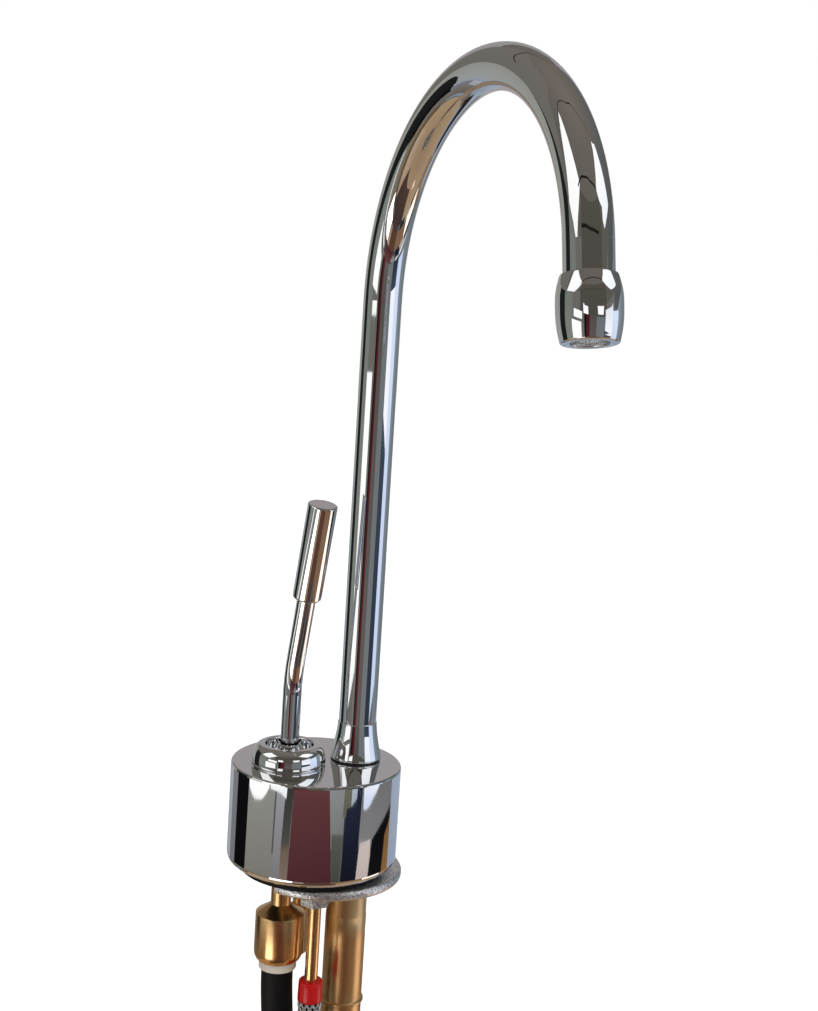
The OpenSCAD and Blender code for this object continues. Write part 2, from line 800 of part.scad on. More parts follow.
module lever_grip() {
    color(CHROME) above_bend() translate([0, 0, stem_len]) difference() {
        rotate_extrude() polygon(concat(
            [[0, 0]],
            arc(grip_r - grip_taper - grip_round, grip_round, grip_round, -90, 0, 5),
            arc(grip_r - grip_edge, grip_len - grip_edge, grip_edge, 0, 90, 4),
            [[0, grip_len]]
        ));
        translate([0, 0, -cut]) cylinder(r = stem_r + run, h = grip_sink);
        translate([0, 0, grip_sink / 2]) rotate([-90, 0, 0]) cylinder(r = grub_r + run, h = grip_d);
    }
}

// grub screw that holds the grip, on the side away from the user
module grip_screw() {
    color(STEEL) above_bend() translate([0, 0, stem_len + grip_sink / 2]) rotate([-90, 0, 0]) difference() {
        translate([0, 0, stem_r + 0.02]) cylinder(r = grub_r, h = grip_r - stem_r - 0.35);
        translate([0, 0, grip_r - 1]) cylinder(r = 0.8, h = 2, $fn = 6);
    }
}

// connections below the worktop

module boiler_tail() {
    color(BRASS) at_post() difference() {
        union() {
            translate([0, 0, tail_step_z]) cylinder(r = shank_r - 0.12, h = shank_top - gap - tail_step_z);
            translate([0, 0, tail_thread_len - shank_len])
                cylinder(r = shank_r, h = shank_len - tail_thread_len + tail_step_z);
            translate([0, 0, -ridge_drop - ridge_h]) {
                cylinder(r1 = shank_r, r2 = ridge_r, h = ridge_h / 3);
                translate([0, 0, ridge_h / 3]) cylinder(r = ridge_r, h = ridge_h / 3);
                translate([0, 0, 2 * ridge_h / 3]) cylinder(r1 = ridge_r, r2 = shank_r, h = ridge_h / 3);
            }
            translate([0, 0, -shank_len]) cylinder(r = tail_thread_r, h = tail_thread_len + cut);
        }
        translate([0, 0, -shank_len - cut]) cylinder(r = tail_bore_r, h = shank_len + shank_top);
    }
}

module push_fitting() {
    top = socket_z - 0.2;
    color(BRASS) at_lever() rotate_extrude() polygon([
        [neck_bore_r, top], [neck_hole_r, top], [neck_hole_r, neck_end_z], [fitting_r - 0.3, cone_end_z],
        [fitting_r, cone_end_z - 0.4], [fitting_r, barrel_end_z], [collet_flange_r, fitting_end_z],
        [collet_r + loose, fitting_end_z], [collet_r + loose, grab_groove_z], [grab_groove_r, grab_groove_z],
        [grab_groove_r, grab_groove_z + grab_groove_h], [supply_bore_r, grab_groove_z + grab_groove_h],
        [supply_bore_r, o_groove_z], [hose_ring_groove_r, o_groove_z],
        [hose_ring_groove_r, o_groove_z + o_groove_h], [supply_bore_r, o_groove_z + o_groove_h],
        [supply_bore_r, stop_depth_z], [neck_bore_r, stop_depth_z]
    ]);
}

module fitting_o_ring() {
    color(RUBBER) at_lever() translate([0, 0, o_groove_z + o_groove_h / 2])
        torus(supply_r + 0.03 + hose_ring_r, hose_ring_r);
}

module grab_ring() {
    color(STEEL) at_lever() translate([0, 0, grab_groove_z + 0.3])
        ring(grab_groove_r - loose, supply_r + loose, 0.5);
}

module collet() {
    flange = fitting_end_z - gap;
    color(CREAM) at_lever() rotate_extrude() polygon([
        [supply_r + loose, grab_groove_z + gap], [collet_r, grab_groove_z + gap], [collet_r, flange],
        [collet_flange_r, flange], [collet_flange_r, collet_end_z + 0.4],
        [collet_flange_r - 0.4, collet_end_z], [supply_r + loose, collet_end_z]
    ]);
}

module thin_tube() {
    foot = sleeve_top - sleeve_grip + gap;
    color(BRASS) translate([thin_x, thin_y, foot]) ring(thin_r, thin_r - 0.8, way_z - way_r - gap - foot);
}

module gland_nut() {
    color(ZINC) translate([thin_x, thin_y, gland_z]) difference() {
        union() {
            hex(gland_af, gland_h - 1.2);
            cylinder(r = gland_af / 2 - 0.3, h = gland_h);
        }
        translate([0, 0, -cut]) cylinder(r = thin_r + run, h = gland_h + 2 * cut);
    }
}

module red_sleeve() {
    color(RED) translate([thin_x, thin_y, 0]) difference() {
        rotate_extrude() polygon(concat(
            [[0, sleeve_end]],
            arc(sleeve_r - 0.4, sleeve_end + 0.4, 0.4, -90, 0, 4),
            arc(sleeve_r - 0.7, sleeve_top - 0.7, 0.7, 0, 90, 4),
            [[0, sleeve_top]]
        ));
        translate([0, 0, sleeve_top - sleeve_grip]) cylinder(r = thin_r + run, h = sleeve_grip + cut);
    }
}

// hoses: one closed tube swept along a route, with a ring of points at each of its places

function unit(v) = v / norm(v);
function heading(p, i) = unit(p[min(i + 1, len(p) - 1)] - p[max(i - 1, 0)]);

module swept_hose(p, r) {
    n = hose_sides;
    points = [for (i = [0:len(p) - 1])
        let (t = heading(p, i), u = unit(cross([0, 1, 0], t)), v = cross(t, u))
        for (k = [0:n - 1]) p[i] + r * (cos(360 * k / n) * u + sin(360 * k / n) * v)];
    last = n * (len(p) - 1);
    sides = [for (i = [0:len(p) - 2], k = [0:n - 1])
        [n * i + k, n * i + (k + 1) % n, n * (i + 1) + (k + 1) % n, n * (i + 1) + k]];
    polyhedron(points, concat([[for (k = [0:n - 1]) n - 1 - k]], sides, [[for (k = [0:n - 1]) last + k]]));
}

function end_of(route) = route[len(route) - 1];

module at_hose_end(route) {
    translate(end_of(route)) children();
}

module hose_ferrule(r) {
    difference() {
        translate([0, 0, -2]) cylinder(r = r + ferrule_wall, h = ferrule_grip + 2);
        cylinder(r = r + loose, h = ferrule_grip + 1);
        translate([0, 0, -2 - cut]) cylinder(r = tail_neck_r + loose, h = 4);
        for (z = [3, 7, 11]) translate([0, 0, z]) ring(r + 2, r + ferrule_wall - 0.25, 1.2);
    }
}

// brass tail whose flange traps the nut: origin at the hose's end
flange_foot = -tail_len_below - nut_cap;

module hose_tail() {
    color(BRASS) difference() {
        union() {
            translate([0, 0, flange_foot]) cylinder(r = tail_neck_r, h = -flange_foot - gap);
            translate([0, 0, flange_foot]) cylinder(r = tail_flange_r, h = tail_flange_t);
        }
        translate([0, 0, flange_foot - cut]) cylinder(r = 2.2, h = -flange_foot);
    }
}

module hose_washer() {
    color(RUBBER) translate([0, 0, flange_foot - hose_washer_t]) ring(nut_bore_r - 0.4, 3, hose_washer_t);
}

module hose_nut() {
    cap_foot = flange_foot + tail_flange_t + gap;
    foot = cap_foot + nut_cap - nut_h;
    relief_z = flange_foot - hose_washer_t - gap;
    color(BRASS) difference() {
        translate([0, 0, foot]) intersection() {
            hex(nut_af, nut_h);
            cylinder(r1 = nut_af / 2 + 0.4 + nut_h, r2 = nut_af / 2 + 0.4, h = nut_h);
        }
        translate([0, 0, foot - cut]) cylinder(r = nut_bore_r, h = nut_h - nut_cap);
        translate([0, 0, relief_z]) cylinder(r = nut_relief_r, h = cap_foot - relief_z);
        translate([0, 0, foot]) cylinder(r = tail_neck_r + loose, h = nut_h + 1);
    }
}

module supply_hose() {
    color(RUBBER) swept_hose(supply_route, supply_r);
}

module supply_ferrule() {
    color(STEEL) at_hose_end(supply_route) hose_ferrule(supply_r);
}

module supply_tail() {
    at_hose_end(supply_route) hose_tail();
}

module supply_washer() {
    at_hose_end(supply_route) hose_washer();
}

module supply_nut() {
    at_hose_end(supply_route) hose_nut();
}

module braided_hose() {
    color(STEEL) swept_hose(braid_route, braid_r);
}

module braid_ferrule() {
    color(STEEL) at_hose_end(braid_route) hose_ferrule(braid_r);
}

module braid_tail() {
    at_hose_end(braid_route) hose_tail();
}

module braid_washer() {
    at_hose_end(braid_route) hose_washer();
}

module braid_nut() {
    at_hose_end(braid_route) hose_nut();
}

tap_body();
base_plate();
base_screws();
deck_gasket();
valve_block();
clamp_plate();
fixing_stud();
stud_washer();
fixing_nut();
spout_spigot();
spigot_o_rings();
slide_washer();
spout_collar();
spout_tube();
swivel_screw();
nozzle_shell();
nozzle_seal();
nozzle_spacer();
flow_screen();
flow_straightener();
bonnet();
ball_seat();
cartridge_housing();
cartridge_base();
cartridge_seal();
port_gasket();
fixed_disc();
moving_disc();
disc_carrier();
turn_guide();
pivot_pin();
lever_ball();
lever_collar();
lever_stem();
lever_grip();
grip_screw();
boiler_tail();
push_fitting();
fitting_o_ring();
grab_ring();
collet();
supply_hose();
supply_ferrule();
supply_tail();
supply_washer();
supply_nut();
thin_tube();
gland_nut();
red_sleeve();
braided_hose();
braid_ferrule();
braid_tail();
braid_washer();
braid_nut();
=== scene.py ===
"""Boiling water tap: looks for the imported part, laid out as an add-on.

Lengths are in metres, apart from the routes, places and outlines that are said to be in millimetres."""

import json
import math

import bmesh
import bpy
import numpy as np
from bpy.props import FloatProperty, FloatVectorProperty, IntProperty, PointerProperty
from bpy.types import Operator, Panel, PropertyGroup
from mathutils import Matrix, Vector


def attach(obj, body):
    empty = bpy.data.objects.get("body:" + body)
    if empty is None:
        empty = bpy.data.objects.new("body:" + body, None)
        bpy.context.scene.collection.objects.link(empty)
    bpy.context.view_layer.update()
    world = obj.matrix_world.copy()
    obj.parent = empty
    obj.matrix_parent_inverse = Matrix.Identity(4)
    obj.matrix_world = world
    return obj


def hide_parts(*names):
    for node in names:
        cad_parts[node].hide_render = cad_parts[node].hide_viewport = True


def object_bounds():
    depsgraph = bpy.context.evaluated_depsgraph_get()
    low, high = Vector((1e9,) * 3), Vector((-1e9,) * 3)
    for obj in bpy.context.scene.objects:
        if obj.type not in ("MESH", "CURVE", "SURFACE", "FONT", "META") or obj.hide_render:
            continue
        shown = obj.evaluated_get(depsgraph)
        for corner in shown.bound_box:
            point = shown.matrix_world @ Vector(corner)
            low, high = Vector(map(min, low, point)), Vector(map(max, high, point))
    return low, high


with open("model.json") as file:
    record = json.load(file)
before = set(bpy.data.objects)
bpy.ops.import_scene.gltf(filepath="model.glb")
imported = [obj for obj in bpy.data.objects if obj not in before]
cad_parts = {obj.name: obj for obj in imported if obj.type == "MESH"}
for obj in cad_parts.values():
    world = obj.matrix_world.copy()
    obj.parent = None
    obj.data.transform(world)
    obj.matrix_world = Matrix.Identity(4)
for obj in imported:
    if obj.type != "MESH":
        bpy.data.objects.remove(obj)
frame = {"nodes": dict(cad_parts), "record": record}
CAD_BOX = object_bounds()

bl_info = {
    "name": "Boiling Water Tap",
    "version": (1, 0, 0),
    "blender": (4, 5, 0),
    "location": "View3D > Sidebar > Tap",
    "description": "Finishes, hoses, threads and studio for a boiling water tap",
    "category": "Object",
}

MM = 0.001
SHARP_ANGLE = math.radians(38)

# Hose routes, top to bottom, as the part's source has them, in millimetres.
SUPPLY_ROUTE = (
    (-10, 0, -24.1), (-10, 0, -40), (-9.5, 0, -50), (-8.6, 0, -61), (-7.7, 0.1, -75),
    (-7.4, 0.3, -95), (-8.2, 0.7, -120), (-9.8, 1.3, -150), (-11.5, 2, -180), (-13, 2.6, -210),
    (-14.2, 3.1, -240), (-15.1, 3.5, -270), (-15.6, 3.8, -300), (-15.9, 4, -330), (-16, 4, -360),
    (-16, 4, -380),
)
BRAID_ROUTE = (
    (-1.5, -9.9, -45.7), (-1.5, -9.9, -60), (-1.5, -10, -80), (-1.6, -10.3, -105),
    (-1.9, -10.9, -135), (-2.2, -11.6, -165), (-2.4, -12.3, -195), (-2.4, -12.9, -225),
    (-2.2, -13.4, -255), (-1.9, -13.7, -285), (-1.7, -13.9, -315), (-1.5, -14, -345),
    (-1.5, -14, -370), (-1.5, -14, -395),
)


def patch(left, right, low, high):
    """The four corners of an upright patch of the room, from its azimuths and elevations."""
    return (left, low), (left, high), (right, high), (right, low)


WHITE = (255, 255, 255)

# The studio room that the chrome mirrors. Each card is a name, its corners as azimuth and elevation in degrees
# (azimuth 0 faces the front of the tap, 90 its right), and its upper and lower colour as the chrome shows them.
# The corners are lower left, upper left, upper right and lower right. A later card hides an earlier one.
ROOM_CARDS = (
    ("ceiling_front", patch(-180, 180, 20, 90), (112, 104, 99), (88, 86, 80)),
    ("ceiling_low", ((-64, 6), (-64, 36), (26, 40), (26, 6)), (80, 77, 70), (72, 70, 64)),
    ("ceiling_right", patch(60, 150, 14, 50), (96, 96, 94), (78, 82, 82)),
    ("ceiling_back", patch(-180, -120, 16, 60), (108, 103, 98), (104, 102, 97)),
    ("wall_left_far", patch(-180, -148, -15, 16), (140, 140, 134), (146, 152, 152)),
    ("wall_left", patch(-124, -92, -30, 16), (112, 116, 110), (126, 132, 126)),
    ("pillar_black", patch(-149, -122, -34, 16), (30, 33, 32), (18, 20, 20)),
    ("wall_front_left", patch(-62, -46, -18, 10), (92, 90, 84), (118, 116, 112)),
    ("door_dark", patch(-50, -42, -18, 10), (16, 16, 16), (22, 20, 20)),
    ("door_maroon", patch(-43, -29, -18, 10), (66, 24, 30), (84, 34, 38)),
    ("wall_front", patch(-32, -8, -18, 10), (78, 74, 70), (96, 90, 88)),
    ("wall_front_blue", patch(-9, 24, -18, 10), (104, 110, 114), (112, 116, 118)),
    ("wall_right_navy", patch(20, 52, -20, 0), (60, 68, 86), (40, 48, 58)),
    ("wall_right_pale", patch(74, 98, -24, 14), (128, 138, 148), (112, 122, 132)),
    ("wall_right", patch(96, 134, -24, 16), (112, 122, 126), (104, 112, 116)),
    ("window_left", ((-116, 17), (-103, 51), (-62, 38), (-85, 17)), WHITE, (250, 250, 250)),
    ("window_left_low", ((-94, -15.6), (-94, 1), (-60, 1), (-60, -13.5)), WHITE, (250, 252, 250)),
    ("window_right", ((18, 43), (52, 58), (72, 50), (46, 26)), WHITE, (250, 252, 255)),
    ("window_right_edge", ((46, 26), (52, 57), (70, 50), (77, 27)), WHITE, (240, 246, 255)),
    ("window_right_low", ((22, -1), (22, 16), (52, 18), (52, -3)), (224, 229, 238), (244, 247, 255)),
    ("window_blue", ((50, -16), (50, 14), (78, 12), (78, -14)), (214, 226, 248), (196, 212, 240)),
    ("wall_back", patch(132, 180, -8, 44), (142, 138, 140), (154, 150, 153)),
    ("sky_back", patch(150, 180, -30, -4), (150, 158, 170), (128, 138, 152)),
    ("sky_right", ((108, -42), (108, -16), (152, -14), (152, -42)), (138, 150, 166), (122, 138, 160)),
    ("sky_left", ((-180, -40), (-180, -14), (-148, -14), (-148, -38)), (140, 148, 158), (122, 134, 156)),
    ("shelf_left", patch(-96, -58, -52, -17), (84, 88, 86), (62, 66, 64)),
    ("panel_grey", patch(-60, -44, -58, -17), (122, 116, 113), (110, 98, 92)),
    ("panel_dark", patch(-45, 6, -60, -17), (78, 62, 62), (58, 46, 46)),
    ("panel_slate", patch(5, 22, -58, -18), (92, 92, 92), (78, 80, 78)),
    ("shelf_right", patch(20, 46, -44, -17), (44, 52, 58), (34, 40, 44)),
    ("box_pale", ((44, -52), (44, -20), (72, -22), (72, -46)), (178, 168, 160), (150, 140, 124)),
    ("shelf_black", ((64, -42), (64, -21), (98, -19), (108, -32)), (30, 32, 36), (48, 52, 52)),
    ("floor", patch(-180, 180, -90, -41), (160, 136, 108), (142, 120, 94)),
    ("floor_left", ((-122, -60), (-122, -41), (-72, -48), (-72, -62)), (174, 152, 132), (158, 134, 110)),
    ("window_left_mid", patch(-86, -57, 3.8, 11), WHITE, (250, 250, 250)),
    ("lamp_left", ((-52, 10), (-54, 17.6), (-38, 17.6), (-36, 10)), WHITE, (250, 250, 250)),
    ("lamp_right", ((-4, 12), (-6, 19.6), (16, 19.6), (14, 12)), WHITE, (250, 250, 250)),
    ("rug_dark", ((-66, -66), (-66, -40), (24, -40), (24, -62)), (62, 48, 48), (74, 58, 50)),
    ("floor_edge", patch(-142, -92, -42, -33), (70, 58, 42), (96, 78, 56)),
    # what the brass below the drum shows
    ("under_left", patch(-180, -128, -36, -24.7), (112, 108, 102), (100, 92, 82)),
    ("under_wall", patch(-128, -80, -36, -24.7), (126, 112, 92), (110, 96, 78)),
    ("under_window", patch(-80, -46, -36, -24.7), (390, 390, 386), (390, 384, 376)),
    ("under_pale", patch(-46, -28, -36, -24.7), (168, 148, 130), (140, 122, 106)),
    ("under_panel", patch(-30, 8, -36, -24.7), (92, 60, 48), (84, 58, 48)),
    ("under_wood", patch(8, 56, -36, -24.7), (126, 98, 78), (120, 94, 74)),
    ("under_box", patch(56, 88, -36, -24.7), (290, 272, 262), (270, 250, 236)),
    ("under_right", patch(88, 116, -36, -24.7), (160, 126, 98), (130, 104, 82)),
    ("under_black", patch(116, 160, -36, -24.7), (44, 32, 24), (40, 30, 24)),
    # a bright spot on the floor
    ("floor_glint", patch(42, 54, -62, -57), (236, 218, 194), (226, 206, 180)),
    # the narrow band of the room that the drum's side shows
    ("low_edge_left", patch(-180, -164, -24.75, -17.95), (158, 160, 168), (150, 152, 160)),
    ("low_wall_left", ((-165, -24.75), (-165, -17.95), (-146.15, -17.95), (-147, -24.75)),
     (116, 116, 122), (108, 108, 114)),
    ("low_black", ((-148, -24.75), (-147.15, -17.95), (-119.38, -17.95), (-121.5, -24.75)),
     (14, 14, 16), (11, 11, 13)),
    ("low_pale_left", ((-121.5, -24.75), (-119.38, -17.95), (-73.3, -17.95), (-75, -24.75)),
     (142, 142, 136), (112, 110, 104)),
    ("low_grey_left", ((-75, -24.75), (-73.3, -17.95), (-56.9, -17.95), (-62, -24.75)),
     (152, 154, 158), (108, 104, 106)),
    ("low_line_left", ((-76, -22.15), (-74.5, -19.15), (-72.3, -19.15), (-73.6, -22.15)),
     (72, 74, 82), (80, 80, 88)),
    ("low_dark_left", ((-63, -22.05), (-58.36, -17.95), (-47.36, -17.95), (-52, -22.05)),
     (42, 46, 44), (72, 72, 68)),
    ("low_brown", patch(-63, -50, -24.75, -21.85), (104, 90, 76), (136, 118, 112)),
    ("low_panel", ((-53, -24.75), (-47.9, -17.95), (-4.1, -17.95), (8, -24)), (98, 58, 60), (66, 36, 40)),
    ("low_grey", ((4, -21.95), (-4.07, -17.95), (20.62, -17.95), (20, -21.2)), (140, 144, 146), (112, 116, 112)),
    ("low_olive", ((8, -24), (4, -21.2), (20, -21.2), (17, -24)), (84, 86, 80), (60, 62, 58)),
    ("low_post", ((18, -20.4), (19.39, -17.95), (30.11, -17.95), (29, -20.4)), (116, 112, 96), (92, 90, 80)),
    ("low_strip", ((29, -19.9), (30, -17.95), (37.89, -17.95), (37, -19.5)), (184, 192, 200), (160, 168, 178)),
    ("low_navy", ((18, -24), (23, -20), (48, -19.6), (42, -24)), (32, 36, 54), (16, 18, 26)),
    ("low_navy_top", ((37, -20.1), (38.4, -17.95), (47.5, -17.95), (47.5, -20.1)), (34, 38, 60), (30, 34, 52)),
    ("low_wall_right", ((43, -21.7), (45.96, -17.95), (105, -17.95), (105, -21.7)),
     (106, 106, 110), (122, 121, 122)),
    ("low_box", ((40, -24), (45, -21.6), (63, -21.4), (60, -24)), (198, 186, 182), (182, 166, 158)),
    ("low_triangle", ((59, -24), (66, -21.4), (105, -19.7), (96, -24)), (12, 12, 16), (22, 20, 20)),
    ("low_wood", ((86, -24), (92, -21.2), (105, -20.3), (104, -24)), (118, 86, 52), (134, 100, 64)),
    ("low_edge_right", patch(104, 160, -24, -17.95), (152, 162, 180), (138, 150, 168)),
    ("low_window_left", ((-118.5, -19.25), (-118.5, -17.95), (-84.22, -17.95), (-84, -19.25)), WHITE, WHITE),
    ("low_window_left_tip", ((-104, -19.8), (-118.5, -19.2), (-84, -19.2), (-97, -19.8)), WHITE, (250, 252, 250)),
    ("low_window_mid", ((-82, -19.25), (-82, -17.95), (-61.31, -17.95), (-66, -19.45)), WHITE, (246, 250, 250)),
    ("low_window_mid_tip", ((-66, -19.47), (-66.88, -17.95), (-56.26, -17.95), (-58.5, -19.7)),
     WHITE, (240, 246, 248)),
    ("low_window_right", ((25, -18.55), (25, -17.95), (80.42, -17.95), (80, -18.6)), WHITE, (250, 250, 255)),
    ("low_window_right_mid", ((47.5, -19.5), (47.5, -18.4), (79, -18.4), (64, -19.5)),
     (250, 252, 255), (214, 222, 244)),
    ("low_window_right_tip", ((48, -20.1), (47.5, -19.45), (65, -19.45), (52, -20.1)),
     (214, 222, 244), (206, 216, 236)),
    # a bright spot on the drum's flat top
    ("top_spot", ((155.45, 17.45), (155.5, 18), (156.05, 18.05), (156.1, 17.5)), WHITE, WHITE),
)

# Dark joints between the ceiling's panels: half of a joint's width, and its azimuth and elevation points, in degrees.
CEILING_JOINTS = (
    (0.55, ((-107, 40), (-104, 54), (-99, 65), (-90, 72), (-78, 77), (-60, 81), (-30, 84), (0, 84), (30, 80),
            (48, 73), (58, 62))),
    (0.55, ((-70, 35), (-60, 40), (-50, 44), (-38, 46), (-22, 48), (-8, 47), (6, 46), (20, 43))),
    (0.4, ((-64, 24), (-45, 27), (-30, 28), (-10, 29), (14, 28))),
    (0.4, ((-180, 58), (-166, 55), (-156, 48), (-150, 42), (-146, 37))),
    (0.4, ((146, 62), (162, 60), (180, 58))),
)
JOINT_SHADE = (28, 24, 22)
WALL_SHADE = (104, 102, 98)  # where no card is
ROOM_MIDDLE = (0, 0, 0.1)
CARD_STEP = 4  # degrees that one facet of a card may take
CARD_NEARER = 0.004  # each card lies this share of the room's radius nearer than the one before it
JOINT_AT = 0.8  # the joints' distance, as a share of the room's radius
FLOOR_GAP = 0.5 * MM
FLOOR_GLOW = 0.3  # white that the floor adds where the camera sees it

# Places on the part, in millimetres, as its source has them.
TOP_Z, POST_X, LEVER_X = 33.4, 14.0, -10.0
ARCH_R, ARCH_Z, END_TILT, TAIL_LEN = 62.3, 187.4, math.radians(9.5), 7.9

FINISH_OF_SLOT = {
    "chrome": "polished_chrome", "brass": "turned_brass", "zinc": "zinc_plate", "steel": "bright_steel",
    "braid": "bright_steel", "black_rubber": "matt_rubber", "seal": "seal_rubber", "acetal": "moulded_acetal",
    "ceramic": "lapped_ceramic", "cream": "cream_plastic", "red": "red_sleeve",
}
FINISH_OF_NODE = {"ball_seat": "polished_chrome", "slide_washer": "seal_rubber"}
ACETAL = (0.82, 0.82, 0.8)
CERAMIC = (0.88, 0.87, 0.83)


# ---------------------------------------------------------------- settings


class TapCameraSettings(PropertyGroup):
    """Where the photograph was taken from"""

    place: FloatVectorProperty(name="Place", description="Where the camera stands", subtype="XYZ",
                               unit="LENGTH", default=(-0.15008, -0.38645, 0.16182))
    yaw: FloatProperty(name="Yaw", description="Turn from straight ahead towards the right",
                       subtype="ANGLE", default=math.radians(24.76))
    pitch: FloatProperty(name="Pitch", description="Tilt above the horizon", subtype="ANGLE",
                         default=math.radians(-5.58))
    roll: FloatProperty(name="Roll", description="Turn about the line of sight", subtype="ANGLE",
                        default=math.radians(3.617))
    lens: FloatProperty(name="Lens", description="Focal length", subtype="DISTANCE_CAMERA", default=44.93)


class TapStudioSettings(PropertyGroup):
    """The floor, the light and the mirrored room"""

    room_radius: FloatProperty(name="Room radius", description="Distance of the mirrored room's cards",
                               unit="LENGTH", default=6.0)
    floor_size: FloatProperty(name="Floor size", description="Width of the floor", unit="LENGTH", default=80.0)
    floor_colour: FloatVectorProperty(name="Floor", description="Colour of the floor", subtype="COLOR",
                                      default=(0.86, 0.86, 0.86))
    ambient: FloatProperty(name="Ambient", description="Strength of the soft light from all round", default=0.55)
    key: FloatProperty(name="Key", description="Strength of the soft key light", default=1.3)
    fill: FloatProperty(name="Fill", description="Strength of the soft fill light", default=0.6)


class TapFinishSettings(PropertyGroup):
    """Colours of the finishes"""

    chrome: FloatVectorProperty(name="Chrome", description="Colour of the chrome plating", subtype="COLOR",
                                default=(0.80, 0.81, 0.83))
    brass: FloatVectorProperty(name="Brass", description="Colour of the bare brass", subtype="COLOR",
                               default=(0.86, 0.55, 0.26))
    zinc: FloatVectorProperty(name="Zinc", description="Colour of the zinc plating", subtype="COLOR",
                              default=(0.78, 0.78, 0.80))
    steel: FloatVectorProperty(name="Steel", description="Colour of the stainless steel", subtype="COLOR",
                               default=(0.68, 0.69, 0.70))
    rubber: FloatVectorProperty(name="Rubber", description="Colour of the black hose and the gasket",
                                subtype="COLOR", default=(0.004, 0.004, 0.0045))
    cream: FloatVectorProperty(name="Cream", description="Colour of the release collet", subtype="COLOR",
                               default=(0.60, 0.49, 0.39))
    red: FloatVectorProperty(name="Red", description="Colour of the shrink sleeve", subtype="COLOR",
                             default=(0.42, 0.003, 0.004))


class TapHoseSettings(PropertyGroup):
    """Sizes of the hoses and of the wire braid"""

    supply_diameter: FloatProperty(name="Supply hose", description="Outer diameter of the black hose",
                                   unit="LENGTH", default=10.7 * MM)
    braid_diameter: FloatProperty(name="Braided hose", description="Outer diameter of the braided hose",
                                  unit="LENGTH", default=8.2 * MM)
    carriers: IntProperty(name="Carriers", description="Wire bands laid each way round the hose", default=12)
    wires: IntProperty(name="Wires", description="Wires side by side in one band", default=4)
    lay_pitch: FloatProperty(name="Lay pitch", description="Length of hose in which a band goes round once",
                             unit="LENGTH", default=30 * MM)


class TapTurningSettings(PropertyGroup):
    """Facets and threads of the turned pieces"""

    sides: IntProperty(name="Sides", description="Sides of the turned pieces", default=160, min=48)
    tail_pitch: FloatProperty(name="Tail pitch", description="Pitch of the boiler tail's thread", unit="LENGTH",
                              default=1.337 * MM)
    stud_pitch: FloatProperty(name="Stud pitch", description="Pitch of the fixing stud's thread", unit="LENGTH",
                              default=1.0 * MM)


# ---------------------------------------------------------------- shared shapes


def add_object(name, data):
    """A new object in the scene."""
    item = bpy.data.objects.new(name, data)
    bpy.context.scene.collection.objects.link(item)
    return item


def new_piece(name, points, faces, body, slot, *materials):
    """A mesh piece that rides on a body and takes the finishes it is given; its slot is not used."""
    mesh = bpy.data.meshes.new(name)
    mesh.from_pydata([tuple(p) for p in points], [], [tuple(int(i) for i in f) for f in faces])
    mesh.validate()
    mesh.update()
    mesh.shade_smooth()
    mesh.set_sharp_from_angle(angle=SHARP_ANGLE)
    piece = add_object(name, mesh)
    for material in materials:
        mesh.materials.append(finish(material))
    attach(piece, body)
    return piece


def smooth_line(route, step):
    """Points about a step apart on a smooth curve through a route's points, and how far along each is, in metres."""
    p = np.array(route, float) * MM
    ends = np.vstack([2 * p[0] - p[1], p, 2 * p[-1] - p[-2]])
    line = []
    for a, b, c, d in zip(ends[:-3], ends[1:-2], ends[2:-1], ends[3:]):
        for t in np.linspace(0, 1, max(2, math.ceil(np.linalg.norm(c - b) / step)), endpoint=False):
            line.append(0.5 * (2 * b + (c - a) * t + (2 * a - 5 * b + 4 * c - d) * t**2
                               + (3 * b - a - 3 * c + d) * t**3))
    line.append(p[-1])
    line = np.array(line)
    along = np.concatenate([[0], np.cumsum(np.linalg.norm(np.diff(line, axis=0), axis=1))])
    at = np.linspace(0, along[-1], math.ceil(along[-1] / step) + 1)
    return np.stack([np.interp(at, along, line[:, k]) for k in range(3)], axis=1), at


def axes_along(line):
    """Two directions square to a line at each of its points, without twist."""
    ahead = np.gradient(line, axis=0)
    ahead /= np.linalg.norm(ahead, axis=1, keepdims=True)
    across = np.zeros_like(ahead)
    side = np.array([1.0, 0.0, 0.0])
    for i, t in enumerate(ahead):
        side = side - t * (side @ t)
        side /= np.linalg.norm(side)
        across[i] = side
    return across, np.cross(ahead, across)


def grid_faces(rows, columns, start=0, closed=True, looped=False):
    """Faces of a grid of points, row by row, joined round where it is closed and end to end where it is looped."""
    wrap = columns if closed else columns - 1
    return [(start + i * columns + j, start + i * columns + (j + 1) % columns,
             start + (i + 1) % rows * columns + (j + 1) % columns, start + (i + 1) % rows * columns + j)
            for i in range(rows if looped else rows - 1) for j in range(wrap)]


def tube_points(line, radius, sides):
    """Rings of points round a line, one at each of its points."""
    across, up = axes_along(line)
    turn = np.arange(sides) * 2 * math.pi / sides
    ring = np.cos(turn)[None, :, None] * across[:, None] + np.sin(turn)[None, :, None] * up[:, None]
    return (line[:, None] + radius * ring).reshape(-1, 3)


def rounded(line):
    """An open line with its corners cut, so that it bends more smoothly."""
    p = np.array(line, float)
    cuts = np.stack([0.75 * p[:-1] + 0.25 * p[1:], 0.25 * p[:-1] + 0.75 * p[1:]], axis=1).reshape(-1, p.shape[1])
    return np.vstack([p[:1], cuts, p[-1:]])


def arc_points(x, y, radius, start, end, steps):
    """Points on an arc, its angles in degrees."""
    angles = np.radians(np.linspace(start, end, steps + 1))
    return [(x + radius * math.cos(a), y + radius * math.sin(a)) for a in angles]


